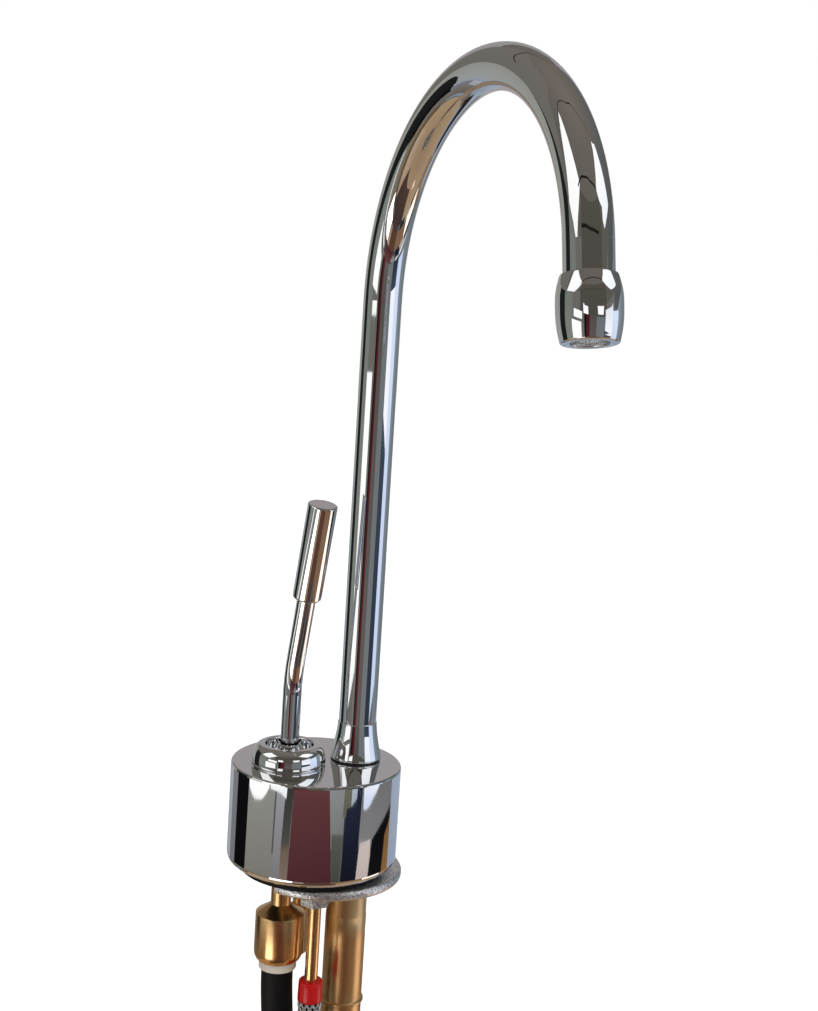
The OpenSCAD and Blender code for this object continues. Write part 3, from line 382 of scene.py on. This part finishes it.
def turned_piece(name, outline, place, body, slot, material, sides, thread=None):
    """A solid turned about a placing's Z, from a closed loop of (radius, height) that goes up its outside.

    A thread is its crest radius, lower end, upper end, pitch and depth, and is cut where the loop has that radius.
    The loop and the thread are in millimetres."""
    at = np.array(outline, float)
    turn = np.arange(sides) * 2 * math.pi / sides
    radius, height = np.repeat(at[:, :1], sides, axis=1), at[:, 1:]
    if thread:
        crest, low, high, pitch, depth = thread
        phase = (height / pitch - turn / (2 * math.pi)) % 1
        # a V groove with a narrow flat at its root and at its crest
        groove = np.clip(1.2 - 2.9 * np.abs(phase - 0.5), 0, 1)
        run_out = np.clip(np.minimum(height - low, high - height) / (0.8 * pitch), 0, 1)
        radius = radius - depth * groove * run_out * (np.abs(at[:, :1] - crest) < 1e-6)
    points = np.stack([radius * np.cos(turn), radius * np.sin(turn), np.repeat(height, sides, axis=1)], axis=-1)
    points = points.reshape(-1, 3) * MM @ np.array(place.to_3x3()).T + np.array(place.translation)
    return new_piece(name, points, grid_faces(len(at), sides, looped=True), body, slot, material)


def drill(piece, foot, axis, radius):
    """Cut a round hole into a piece, from a point outwards."""
    depth = 20 * MM
    place = Vector((0, 0, 1)).rotation_difference(axis).to_matrix().to_4x4()
    place.translation = foot + axis * depth / 2
    bm = bmesh.new()
    bmesh.ops.create_cone(bm, cap_ends=True, segments=48, radius1=radius, radius2=radius, depth=depth,
                          matrix=place)
    cutter = add_object("drill", bpy.data.meshes.new("drill"))
    bm.to_mesh(cutter.data)
    bm.free()
    modifier = piece.modifiers.new("hole", "BOOLEAN")
    modifier.operation, modifier.solver, modifier.object = "DIFFERENCE", "EXACT", cutter
    solid, bit = piece.data, cutter.data
    piece.data = bpy.data.meshes.new_from_object(piece.evaluated_get(bpy.context.evaluated_depsgraph_get()))
    piece.modifiers.clear()
    bpy.data.objects.remove(cutter)
    bpy.data.meshes.remove(bit)
    bpy.data.meshes.remove(solid)
    piece.data.name = piece.name
    piece.data.set_sharp_from_angle(angle=SHARP_ANGLE)


# ---------------------------------------------------------------- finishes


def finish(name):
    """The material of that name, which the finishes operator fills."""
    return bpy.data.materials.get(name) or bpy.data.materials.new(name)


def linear(shade):
    """A screen colour, 0 to 255, as linear light."""
    return [((c / 255 + 0.055) / 1.055) ** 2.4 if c > 10 else c / 255 / 12.92 for c in shade]


class Nodes:
    """Short words for building a node tree."""

    def __init__(self, tree):
        self.tree = tree

    def add(self, kind, values=(), **settings):
        """A node of a kind, with values or links for its inputs."""
        node = self.tree.nodes.new(kind)
        for key, value in settings.items():
            setattr(node, key, value)
        for key, value in dict(values).items():
            if isinstance(value, bpy.types.NodeSocket):
                self.tree.links.new(value, node.inputs[key])
            else:
                node.inputs[key].default_value = value
        return node

    def math(self, operation, a, b):
        return self.add("ShaderNodeMath", {0: a, 1: b}, operation=operation).outputs[0]

    def ramp(self, value, low, high, to_low=0.0, to_high=1.0):
        """A value taken from one range to another, and held to it."""
        return self.add("ShaderNodeMapRange", {0: value, 1: low, 2: high, 3: to_low, 4: to_high}).outputs[0]

    def mix(self, factor, a, b):
        """A colour between two."""
        return self.add("ShaderNodeMix", {0: factor, 6: a, 7: b}, data_type="RGBA").outputs[2]


def cleared(owner):
    """The empty node tree of a new material or world."""
    owner.use_nodes = True
    owner.node_tree.nodes.clear()
    return Nodes(owner.node_tree)


def new_group(name, inputs, outputs):
    """A shader node group with named sockets. Returns its tree, its input node and its output node."""
    tree = bpy.data.node_groups.new(name, "ShaderNodeTree")
    for label, kind, value in inputs:
        tree.interface.new_socket(label, in_out="INPUT", socket_type=kind).default_value = value
    for label, kind in outputs:
        tree.interface.new_socket(label, in_out="OUTPUT", socket_type=kind)
    return tree, tree.nodes.new("NodeGroupInput"), tree.nodes.new("NodeGroupOutput")


def handling_group():
    """Faint smears and hairline scratches left by wiping: a roughness and a height."""
    tree, given, out = new_group("handling_marks", (
        ("Clean", "NodeSocketFloat", 0.03), ("Smeared", "NodeSocketFloat", 0.1), ("Scale", "NodeSocketFloat", 90.0)),
        (("Roughness", "NodeSocketFloat"), ("Height", "NodeSocketFloat")))
    n = Nodes(tree)
    place = n.add("ShaderNodeTexCoord").outputs["Object"]
    cloud = n.add("ShaderNodeTexNoise", {"Vector": place, "Scale": given.outputs["Scale"], "Detail": 3.0,
                                         "Roughness": 0.6})
    smear = n.ramp(cloud.outputs["Fac"], 0.45, 0.75)
    stretch = n.add("ShaderNodeMapping", {"Vector": place, "Scale": (1400.0, 1400.0, 60.0),
                                          "Rotation": (0.5, 0.35, 0.0)})
    hair = n.add("ShaderNodeTexNoise", {"Vector": stretch.outputs[0], "Scale": 1.0, "Detail": 1.0})
    scratch = n.math("MULTIPLY", n.ramp(hair.outputs["Fac"], 0.68, 0.74), smear)
    span = n.math("SUBTRACT", given.outputs["Smeared"], given.outputs["Clean"])
    share = n.math("MAXIMUM", n.math("MULTIPLY", smear, 0.35), scratch)
    rough = n.math("ADD", given.outputs["Clean"], n.math("MULTIPLY", span, share))
    tree.links.new(rough, out.inputs["Roughness"])
    tree.links.new(scratch, out.inputs["Height"])
    return tree


def turned_group():
    """Fine rings left by a lathe tool along the object's height, with a faint uneven tone."""
    tree, given, out = new_group("turned_rings", (
        ("Rings per metre", "NodeSocketFloat", 5200.0), ("Tone scale", "NodeSocketFloat", 160.0)),
        (("Height", "NodeSocketFloat"), ("Tone", "NodeSocketFloat")))
    n = Nodes(tree)
    place = n.add("ShaderNodeTexCoord").outputs["Object"]
    z = n.add("ShaderNodeSeparateXYZ", {0: place}).outputs["Z"]
    wide_rings = 900.0
    fine, wide = (n.add("ShaderNodeTexNoise", {"W": n.math("MULTIPLY", z, per_metre), "Scale": 1.0, "Detail": 2.0},
                        noise_dimensions="1D") for per_metre in (given.outputs["Rings per metre"], wide_rings))
    cloud = n.add("ShaderNodeTexNoise", {"Vector": place, "Scale": given.outputs["Tone scale"], "Detail": 4.0})
    tone = n.math("ADD", n.math("MULTIPLY", cloud.outputs["Fac"], 0.6), n.math("MULTIPLY", wide.outputs["Fac"], 0.4))
    tree.links.new(fine.outputs["Fac"], out.inputs["Height"])
    tree.links.new(n.ramp(tone, 0.35, 0.65), out.inputs["Tone"])
    return tree


def grain_group():
    """Fine even grain for mouldings, rubber and plating: a height and a tone."""
    tree, given, out = new_group("fine_grain", (
        ("Grain scale", "NodeSocketFloat", 4000.0), ("Tone scale", "NodeSocketFloat", 250.0)),
        (("Height", "NodeSocketFloat"), ("Tone", "NodeSocketFloat")))
    n = Nodes(tree)
    place = n.add("ShaderNodeTexCoord").outputs["Object"]
    fine = n.add("ShaderNodeTexNoise", {"Vector": place, "Scale": given.outputs["Grain scale"], "Detail": 2.0})
    cloud = n.add("ShaderNodeTexNoise", {"Vector": place, "Scale": given.outputs["Tone scale"], "Detail": 4.0})
    tree.links.new(fine.outputs["Fac"], out.inputs["Height"])
    tree.links.new(n.ramp(cloud.outputs["Fac"], 0.3, 0.7), out.inputs["Tone"])
    return tree


def new_material(name):
    """The nodes of a procedural material of that name, and its Principled shader."""
    material = finish(name)
    material.use_nodes = True
    n = Nodes(material.node_tree)
    return n, next(x for x in n.tree.nodes if x.type == "BSDF_PRINCIPLED")


def plug(n, shader, **sockets):
    """Sets or links the shader's sockets by name."""
    for key, value in sockets.items():
        socket = shader.inputs[key.replace("_", " ")]
        if isinstance(value, bpy.types.NodeSocket):
            n.tree.links.new(value, socket)
        else:
            socket.default_value = (*value, 1) if hasattr(value, "__len__") and len(value) == 3 else value


def bump(n, height, strength, distance):
    """A normal for a relief of that height, its distance in metres."""
    return n.add("ShaderNodeBump", {"Height": height, "Strength": strength, "Distance": distance}).outputs[0]


def shaded(colour, by):
    """A colour scaled, with its opacity."""
    return (*(min(1.0, c * by) for c in colour), 1)


def metal(name, colour, groups, kind, low, high, tone, relief, strength, metallic=1.0, scale=None):
    """A metal with one of the groups on it: its lowest and highest roughness, how far its tone goes, and its
    relief's height in metres and strength."""
    n, shader = new_material(name)
    marks = n.add("ShaderNodeGroup", node_tree=groups[kind])
    if kind == "handling_marks":
        marks.inputs["Clean"].default_value = low
        marks.inputs["Smeared"].default_value = high
        plug(n, shader, Base_Color=(*colour, 1), Roughness=marks.outputs["Roughness"])
    else:
        if scale:
            marks.inputs["Tone scale"].default_value = marks.inputs["Grain scale"].default_value = scale
        plug(n, shader, Roughness=n.ramp(marks.outputs["Tone"], 0, 1, low, high),
             Base_Color=n.mix(marks.outputs["Tone"], shaded(colour, 1 - tone), shaded(colour, 1 + tone * 0.4)))
    plug(n, shader, Metallic=metallic, Normal=bump(n, marks.outputs["Height"], strength, relief))


def plain(name, colour, groups, low, high, tone, relief, strength, scale=4000.0, **more):
    """A moulded or rubber finish with fine grain, its numbers as a metal's."""
    n, shader = new_material(name)
    grain = n.add("ShaderNodeGroup", node_tree=groups["fine_grain"])
    grain.inputs["Grain scale"].default_value = scale
    plug(n, shader, Roughness=n.ramp(grain.outputs["Tone"], 0, 1, low, high),
         Base_Color=n.mix(grain.outputs["Tone"], shaded(colour, 1 - tone), shaded(colour, 1 + tone)),
         Normal=bump(n, grain.outputs["Height"], strength, relief), **more)


# ---------------------------------------------------------------- operators


class TAP_OT_camera(Operator):
    """Place the camera at the photograph's viewing angle"""

    bl_idname = "tap.camera"
    bl_label = "Camera"

    def execute(self, context):
        s = context.scene.tap_camera
        ahead = Vector((math.sin(s.yaw) * math.cos(s.pitch), math.cos(s.yaw) * math.cos(s.pitch), math.sin(s.pitch)))
        level = Vector((math.cos(s.yaw), -math.sin(s.yaw), 0))
        square = level.cross(ahead)
        right = level * math.cos(s.roll) + square * math.sin(s.roll)
        up = square * math.cos(s.roll) - level * math.sin(s.roll)
        camera = add_object("camera", bpy.data.cameras.new("camera"))
        place = Matrix((right, up, -ahead)).transposed().to_4x4()
        place.translation = s.place
        camera.matrix_world = place
        camera.data.lens = s.lens
        camera.data.sensor_width = 36
        camera.data.clip_start = 0.01
        context.scene.camera = camera
        return {"FINISHED"}


class TAP_OT_turned_chrome(Operator):
    """Turn the bonnet, the spout's collar and the nozzle's shell"""

    bl_idname = "tap.turned_chrome"
    bl_label = "Turned Chrome"

    def execute(self, context):
        sides = context.scene.tap_turning.sides
        # the outlines are loops of (radius, height) in millimetres, up the outside and down the inside
        skirt_end, bore_r, lip_r, lip_z = 22.7, 8.6, 7.9, 36.2
        dome_r, dome_width, dome_foot, dome_height, fullness = 9, 3.3, TOP_Z + 0.35, 6.45, 0.87
        bonnet = [(bore_r, skirt_end), (10, skirt_end), (10, TOP_Z), (12.05, TOP_Z), (12.2, TOP_Z + 0.1)]
        bonnet += [(dome_r + dome_width * math.cos(a) ** fullness, dome_foot + dome_height * math.sin(a) ** fullness)
                   for a in (math.radians(d) for d in range(0, 91, 3))]
        bonnet += arc_points(8.5, 39.6, 0.6, 90, 180, 8) + [(lip_r, 39.2), (lip_r, lip_z), (bore_r, lip_z)]
        piece = turned_piece("domed_bonnet", bonnet, Matrix.Translation((LEVER_X * MM, 0, 0)), "base", "chrome",
                             "polished_chrome", sides)
        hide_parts("bonnet")

        foot, top, bore_r = TOP_Z + 0.4, TOP_Z + 13, 5.05
        pin_r, pin_bore_r, pin_top, bore_top = 5.3, 3.6, top + 7.5, top - 1.4
        neck_r, flare, flare_foot, flare_top = 6.6, 2.1, foot + 0.7, top - 0.35
        collar = [(bore_r, foot), (8.35, foot)] + arc_points(8.3, foot + 0.4, 0.4, -80, 0, 6)
        collar += [(neck_r + flare * (1 - t) ** 1.5, flare_foot + (flare_top - flare_foot) * t)
                   for t in np.linspace(0, 1, 40)]
        collar += arc_points(6.35, top - 0.25, 0.25, 0, 90, 5) + [(pin_r, top), (pin_r, pin_top)]
        collar += [(pin_bore_r, pin_top), (pin_bore_r, bore_top), (bore_r, bore_top)]
        piece = turned_piece("spout_foot", collar, Matrix.Translation((POST_X * MM, 0, 0)), "spout", "chrome",
                             "polished_chrome", sides)
        screw_z, screw_r = (foot + top - 1.5) / 2, 1.55
        drill(piece, Vector((POST_X, 0, screw_z)) * MM, Vector((0, 1, 0)), screw_r * MM)
        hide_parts("spout_collar")

        outlet = Matrix.Translation(Vector((POST_X, -ARCH_R * (1 + math.cos(END_TILT)),
                                            ARCH_Z + ARCH_R * math.sin(END_TILT))) * MM)
        outlet = outlet @ Matrix.Rotation(-END_TILT, 4, "X") @ Matrix.Translation((0, 0, -TAIL_LEN * MM))
        bore_r, mouth_r, mouth_top, widest_r, widest_z = 6.4, 4.7, -14, 8.25, -7.05
        shell = [(bore_r, mouth_top), (mouth_r, mouth_top), (mouth_r, -16.3)]
        shell += arc_points(5.0, -16.3, 0.3, 180, 270, 5) + arc_points(6.7, -16.0, 0.6, -90, -14, 8)
        shell += [(8.23 - 0.93 * t**2, -8.63 - 7.32 * t) for t in np.linspace(1, 0, 26)][1:]
        shell += [(widest_r, widest_z)]
        shell += [(8.21 - 1.06 * (1 - t) ** 1.56, -0.15 - 5.33 * t) for t in np.linspace(1, 0, 26)]
        shell += [(7.05, 0), (bore_r, 0)]
        piece = turned_piece("nozzle_barrel", shell, outlet, "spout", "chrome", "polished_chrome", sides)
        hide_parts("nozzle_shell")
        return {"FINISHED"}


class TAP_OT_connections(Operator):
    """Turn the boiler tail, the connector with its collet, the red sleeve and the fixing stud"""

    bl_idname = "tap.connections"
    bl_label = "Connections"

    def execute(self, context):
        s = context.scene.tap_turning
        # the outlines are loops of (radius, height) in millimetres, up the outside and down the inside
        pitch, crest, low, high = s.tail_pitch / MM, 6.58, -77.6, -66
        bore_r, tail_r, ring_r, seat_r, foot, top = 4.5, 7, 7.6, 6.88, -78, 7.1
        tail = [(bore_r, foot), (6.2, foot)] + [(crest, z) for z in np.arange(low, high, pitch / 14)]
        tail += [(crest, high)] + arc_points(6.8, -65.8, 0.2, -60, 0, 4) + [(tail_r, z) for z in (-60, -54)]
        tail += arc_points(7.15, -52.5, 0.15, 180, 115, 4) + [(ring_r, -51.95), (ring_r, -51.35)]
        tail += arc_points(7.15, -50.8, 0.15, -115, -180, 4) + [(tail_r, z) for z in (-45, -36, -28, -21)]
        tail += [(6.9, -20.85), (seat_r, -20.8), (seat_r, top), (bore_r, top)]
        piece = turned_piece("threaded_tail", tail, Matrix.Translation((POST_X * MM, 0, 0)), "base", "brass",
                             "drawn_brass", s.sides, (crest, low, high - 0.4, pitch, 0.82))
        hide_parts("boiler_tail")

        at_lever = Matrix.Translation((LEVER_X * MM, 0, 0))
        foot, rim_r, bulge, rise = -34.3, 6.35, 1.9, 3.6
        hose_r, ring_seat_r, grab_r, shank_r, channel_r, hose_stop = 5.5, 6.61, 7.05, 3.4, 2, -23.9
        barrel = [(6.1, foot), (rim_r, foot)] + [(rim_r + bulge * math.sin(a), foot + rise * (1 - math.cos(a)))
                                                 for a in np.linspace(0.12, math.pi / 2, 10)]
        barrel += arc_points(7.95, -18.2, 0.3, 0, 60, 4) + [(shank_r, -15), (shank_r, 6.2)]
        barrel += [(channel_r, 6.2), (channel_r, hose_stop), (hose_r, hose_stop)]
        barrel += [(hose_r, -24.7), (ring_seat_r, -24.7), (ring_seat_r, -26.4), (hose_r, -26.4)]
        barrel += [(hose_r, -28.6), (grab_r, -28.6), (grab_r, -29.6), (6.1, -29.6)]
        piece = turned_piece("connector_barrel", barrel, at_lever, "base", "brass", "turned_brass", s.sides)
        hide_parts("push_fitting")

        bore_r, neck_r, foot, shoulder, top = 5.45, 6, -37.2, -34.4, -29.7
        ring = [(bore_r, foot)] + arc_points(5.95, -36.8, 0.4, -90, 0, 4)
        ring += [(rim_r, shoulder), (neck_r, shoulder), (neck_r, top), (bore_r, top)]
        piece = turned_piece("release_collet", ring, at_lever, "base", "cream", "cream_plastic", s.sides)
        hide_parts("collet")

        axis_r, bore_r, floor = 0.02, 2.25, -43
        sleeve = [(axis_r, -45.6)] + arc_points(3.75, -45.2, 0.4, -90, 0, 4) + [(4.12, -43), (4.05, -40.4)]
        sleeve += arc_points(3.5, -39.1, 0.5, 0, 90, 5) + [(bore_r, -38.6), (bore_r, floor), (axis_r, floor)]
        piece = turned_piece("shrink_sleeve", sleeve, Matrix.Translation((-1.5 * MM, -9.9 * MM, 0)), "base", "red",
                             "red_sleeve", 64)
        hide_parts("red_sleeve")

        pitch, crest, foot, low, top = s.stud_pitch / MM, 2.9, -40, -39.5, 10.5
        stud = [(axis_r, foot), (2.4, foot)] + [(crest, z) for z in np.arange(low, top, pitch / 12)]
        stud += [(crest, top), (axis_r, top)]
        piece = turned_piece("threaded_stud", stud, Matrix.Translation((2.2 * MM, 13.5 * MM, 0)), "base", "brass",
                             "turned_brass", 48, (crest, low, 2, pitch, 0.5))
        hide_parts("fixing_stud")
        return {"FINISHED"}


class TAP_OT_supply_hose(Operator):
    """Lay the black supply hose"""

    bl_idname = "tap.supply_hose"
    bl_label = "Supply Hose"

    def execute(self, context):
        s = context.scene.tap_hoses
        step, sides = 1.5 * MM, 40
        line, at = smooth_line(SUPPLY_ROUTE, step)
        points = tube_points(line, s.supply_diameter / 2, sides)
        faces = grid_faces(len(line), sides)
        faces += [tuple(range(sides - 1, -1, -1)), tuple(range(len(points) - sides, len(points)))]
        piece = new_piece("black_hose", points, faces, "base", "black_rubber", "matt_rubber")
        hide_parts("supply_hose")
        return {"FINISHED"}


class TAP_OT_braided_hose(Operator):
    """Weave the braided hose"""

    bl_idname = "tap.braided_hose"
    bl_label = "Braided Hose"

    def execute(self, context):
        s = context.scene.tap_hoses
        step, sides, radius = 0.85 * MM, 24, s.braid_diameter / 2
        line, at = smooth_line(BRAID_ROUTE, step)
        across, up = axes_along(line)
        # how far a band rises and falls, how deep its middle and the core lie, and a wire's half height
        lift = 0.13 * MM
        band_depth, core_depth, wire_rise = 2.1 * lift, 4.6 * lift, 0.45 * lift
        cover = 0.944  # the width of all bands of both ways, as a share of the way round
        band = cover * math.pi * (radius - lift) / s.carriers
        wire = band / s.wires
        core = tube_points(line, radius - core_depth, sides)
        points, faces = [core], grid_faces(len(line), sides)
        count, core_faces = len(core), len(faces)
        # a band's section: a row of wires on the outside and one flat strip under them
        section = [(-band / 2, -1.0)]
        section += [(-band / 2 + (w + part) * wire, rise) for w in range(s.wires)
                    for part, rise in ((0.08, 0.0), (0.5, 1.0), (0.92, 0.0))]
        section = np.array(section + [(band / 2, -1.0)])
        for way in (1, -1):
            for c in range(s.carriers):
                start = c + (0.25 if way < 0 else 0)
                turn = 2 * math.pi * (way * at / s.lay_pitch + start / s.carriers)
                # one band passes over two and under two of those that cross it
                phase = turn * s.carriers * way + (0 if way > 0 else math.pi)
                weave = np.clip(1.6 * np.sin(phase / 2 + c * math.pi), -1, 1)
                middle = radius - band_depth + weave * lift
                out = middle[:, None] + wire_rise * section[None, :, 1]
                spread = turn[:, None] + section[None, :, 0] / radius
                ring = np.cos(spread)[..., None] * across[:, None] + np.sin(spread)[..., None] * up[:, None]
                points.append((line[:, None] + out[..., None] * ring).reshape(-1, 3))
                faces += grid_faces(len(line), len(section), count)
                count += points[-1].shape[0]
        points = np.vstack(points)
        piece = new_piece("wire_braid", points, faces, "base", "braid", "braid_wire", "matt_rubber")
        for polygon in piece.data.polygons[:core_faces]:
            polygon.material_index = 1
        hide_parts("braided_hose")
        return {"FINISHED"}


class TAP_OT_finishes(Operator):
    """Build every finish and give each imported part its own"""

    bl_idname = "tap.finishes"
    bl_label = "Finishes"

    def execute(self, context):
        s = context.scene.tap_finish
        groups = {"handling_marks": handling_group(), "turned_rings": turned_group(), "fine_grain": grain_group()}
        metal("polished_chrome", s.chrome, groups, "handling_marks", 0.02, 0.10, 0, 0.4e-6, 0.15)
        metal("turned_brass", s.brass, groups, "turned_rings", 0.2, 0.25, 0.07, 1e-6, 0.04)
        metal("drawn_brass", s.brass, groups, "turned_rings", 0.33, 0.34, 0.04, 1e-6, 0)
        metal("zinc_plate", s.zinc, groups, "fine_grain", 0.2, 0.27, 0.5, 250e-6, 0.8, metallic=0.88, scale=1500.0)
        metal("bright_steel", s.steel, groups, "fine_grain", 0.22, 0.34, 0.1, 4e-6, 0.3)
        metal("braid_wire", s.steel, groups, "fine_grain", 0.25, 0.38, 0.14, 4e-6, 0.3)
        plain("matt_rubber", s.rubber, groups, 0.5, 0.65, 0.25, 25e-6, 0.3, Specular_IOR_Level=0.25)
        plain("seal_rubber", s.rubber, groups, 0.4, 0.5, 0.2, 8e-6, 0.2)
        plain("moulded_acetal", ACETAL, groups, 0.35, 0.5, 0.03, 5e-6, 0.2)
        plain("lapped_ceramic", CERAMIC, groups, 0.12, 0.2, 0.02, 1e-6, 0.1)
        plain("cream_plastic", s.cream, groups, 0.35, 0.5, 0.05, 6e-6, 0.2, Subsurface_Weight=0.1)
        plain("red_sleeve", s.red, groups, 0.16, 0.26, 0.12, 12e-6, 0.25, scale=900.0, Specular_IOR_Level=0.35)
        slots = {row["node"]: row["material_slot"] for row in frame["record"]["subparts"]}
        for name, node in frame["nodes"].items():
            node.data.materials.clear()
            node.data.materials.append(finish(FINISH_OF_NODE.get(name) or FINISH_OF_SLOT[slots[name]]))
        return {"FINISHED"}


class TAP_OT_studio(Operator):
    """Set up the floor, the soft light and the room that the chrome mirrors"""

    bl_idname = "tap.studio"
    bl_label = "Studio"

    def execute(self, context):
        s = context.scene.tap_studio
        self.room(s)
        self.floor(s)
        self.lights(context, s)
        return {"FINISHED"}

    def room(self, s):
        """Cards round the tap that only mirror-like surfaces see."""
        material = bpy.data.materials.new("room_cards")
        n = cleared(material)
        shade = n.add("ShaderNodeAttribute", attribute_name="shade")
        glow = n.add("ShaderNodeEmission", {"Color": shade.outputs["Color"]})
        n.add("ShaderNodeOutputMaterial", {"Surface": glow.outputs[0]})
        cards = [("room_shell", patch(-180, 180, -90, 90), WALL_SHADE, WALL_SHADE), *ROOM_CARDS]
        for k, (name, corners, upper, lower) in enumerate(cards):
            self.card(name, corners, upper, lower, s.room_radius * (1 - CARD_NEARER * k), material)
        for k, (half_width, line) in enumerate(CEILING_JOINTS):
            joint = rounded(rounded(line))
            for m, (a, b) in enumerate(zip(joint, joint[1:])):
                along = Vector(b - a).normalized()
                aside = np.array((-along.y, along.x)) * half_width
                self.card(f"ceiling_joint_{k}_{m}", (a - aside, a + aside, b + aside, b - aside), JOINT_SHADE,
                          JOINT_SHADE, s.room_radius * JOINT_AT, material)

    def card(self, name, corners, upper, lower, radius, material):
        """One patch of the room. Its glow is divided by the chrome's colour, so that the chrome shows its own."""
        c = np.array(corners, float)
        across = max(abs(c[3, 0] - c[0, 0]), abs(c[2, 0] - c[1, 0]), 1)
        high = max(abs(c[1, 1] - c[0, 1]), abs(c[2, 1] - c[3, 1]), 1)
        rows, columns = math.ceil(high / CARD_STEP) + 1, math.ceil(across / CARD_STEP) + 1
        v, u = np.meshgrid(np.linspace(0, 1, rows), np.linspace(0, 1, columns), indexing="ij")
        u, v = u[..., None], v[..., None]
        at = (1 - u) * ((1 - v) * c[0] + v * c[1]) + u * ((1 - v) * c[3] + v * c[2])
        a, e = np.radians(at[..., 0]), np.radians(at[..., 1])
        points = radius * np.stack([np.sin(a) * np.cos(e), -np.cos(a) * np.cos(e), np.sin(e)], axis=-1)
        points = points.reshape(-1, 3) + ROOM_MIDDLE
        mesh = bpy.data.meshes.new(name)
        mesh.from_pydata(points.tolist(), [], grid_faces(rows, columns, closed=False))
        tint = bpy.context.scene.tap_finish.chrome
        low, up = (np.array(linear(x)) / np.array(tint) for x in (lower, upper))
        shade = (1 - v) * low + v * up
        colours = np.concatenate([shade, np.ones_like(v)], axis=-1).astype(np.float32)
        mesh.attributes.new("shade", "FLOAT_COLOR", "POINT").data.foreach_set("color", colours.ravel())
        mesh.materials.append(material)
        piece = add_object(name, mesh)
        piece.visible_camera = piece.visible_diffuse = piece.visible_shadow = False
        piece.visible_transmission = piece.visible_volume_scatter = False

    def floor(self, s):
        """A pale floor that is white where the camera sees it lit, and keeps the shadow."""
        half, foot = s.floor_size / 2, CAD_BOX[0].z - FLOOR_GAP
        mesh = bpy.data.meshes.new("floor")
        mesh.from_pydata([(-half, -half, foot), (half, -half, foot), (half, half, foot), (-half, half, foot)],
                         [], [(0, 1, 2, 3)])
        piece = add_object("floor", mesh)
        material = bpy.data.materials.new("pale_floor")
        n = cleared(material)
        seen = seen_rays(n)
        lit = n.add("ShaderNodeBsdfDiffuse", {"Color": (*s.floor_colour, 1)})
        glow = n.add("ShaderNodeEmission", {"Color": (1, 1, 1, 1), "Strength": n.math("MULTIPLY", seen, FLOOR_GLOW)})
        both = n.add("ShaderNodeAddShader", {0: lit.outputs[0], 1: glow.outputs[0]})
        n.add("ShaderNodeOutputMaterial", {"Surface": both.outputs[0]})
        mesh.materials.append(material)
        piece.visible_glossy = False

    def lights(self, context, s):
        """A soft sky that lights the tap and is white behind it, a key and a fill."""
        context.scene.world = bpy.data.worlds.new("studio")
        n = cleared(context.scene.world)
        soft = n.add("ShaderNodeBackground", {"Color": (0.95, 0.97, 1, 1), "Strength": s.ambient})
        white = n.add("ShaderNodeBackground", {"Color": (1, 1, 1, 1), "Strength": 1.0})
        mixed = n.add("ShaderNodeMixShader", {0: seen_rays(n), 1: soft.outputs[0], 2: white.outputs[0]})
        n.add("ShaderNodeOutputWorld", {"Surface": mixed.outputs[0]})
        # each one's name, strength, width in degrees and turn in degrees
        for name, energy, spread, turn in (("key", s.key, 50, (38, 0, -38)), ("fill", s.fill, 80, (50, 0, 62))):
            lamp = bpy.data.lights.new(name, "SUN")
            lamp.energy, lamp.angle = energy, math.radians(spread)
            piece = add_object(name, lamp)
            piece.rotation_euler = [math.radians(x) for x in turn]
            piece.visible_glossy = False
        context.scene.view_settings.view_transform = "Standard"


def seen_rays(n):
    """One for rays that show the background: from the camera, in a mirror or through glass."""
    path = n.add("ShaderNodeLightPath")
    rays = n.math("ADD", path.outputs["Is Camera Ray"], path.outputs["Is Glossy Ray"])
    return n.math("MINIMUM", n.math("ADD", rays, path.outputs["Is Transmission Ray"]), 1.0)


# ---------------------------------------------------------------- panel and run


OPERATORS = (TAP_OT_camera, TAP_OT_turned_chrome, TAP_OT_connections, TAP_OT_supply_hose, TAP_OT_braided_hose,
             TAP_OT_finishes, TAP_OT_studio)
SETTINGS = {"tap_camera": TapCameraSettings, "tap_studio": TapStudioSettings,
            "tap_turning": TapTurningSettings, "tap_finish": TapFinishSettings, "tap_hoses": TapHoseSettings}


class TAP_PT_tools(Panel):
    """The tap's settings and operators"""

    bl_idname = "TAP_PT_tools"
    bl_label = "Boiling Water Tap"
    bl_space_type = "VIEW_3D"
    bl_region_type = "UI"
    bl_category = "Tap"

    def draw(self, context):
        for operator in OPERATORS:
            self.layout.operator(operator.bl_idname)
        for name, kind in SETTINGS.items():
            box = self.layout.box()
            for key in kind.__annotations__:
                box.prop(getattr(context.scene, name), key)


CLASSES = (*SETTINGS.values(), *OPERATORS, TAP_PT_tools)


def register():
    for cls in CLASSES:
        bpy.utils.register_class(cls)
    for name, kind in SETTINGS.items():
        setattr(bpy.types.Scene, name, PointerProperty(type=kind))


def unregister():
    for name in SETTINGS:
        delattr(bpy.types.Scene, name)
    for cls in reversed(CLASSES):
        bpy.utils.unregister_class(cls)


def main():
    register()
    for operator in OPERATORS:
        group, name = operator.bl_idname.split(".")
        getattr(getattr(bpy.ops, group), name)()


if __name__ == "__main__":
    main()
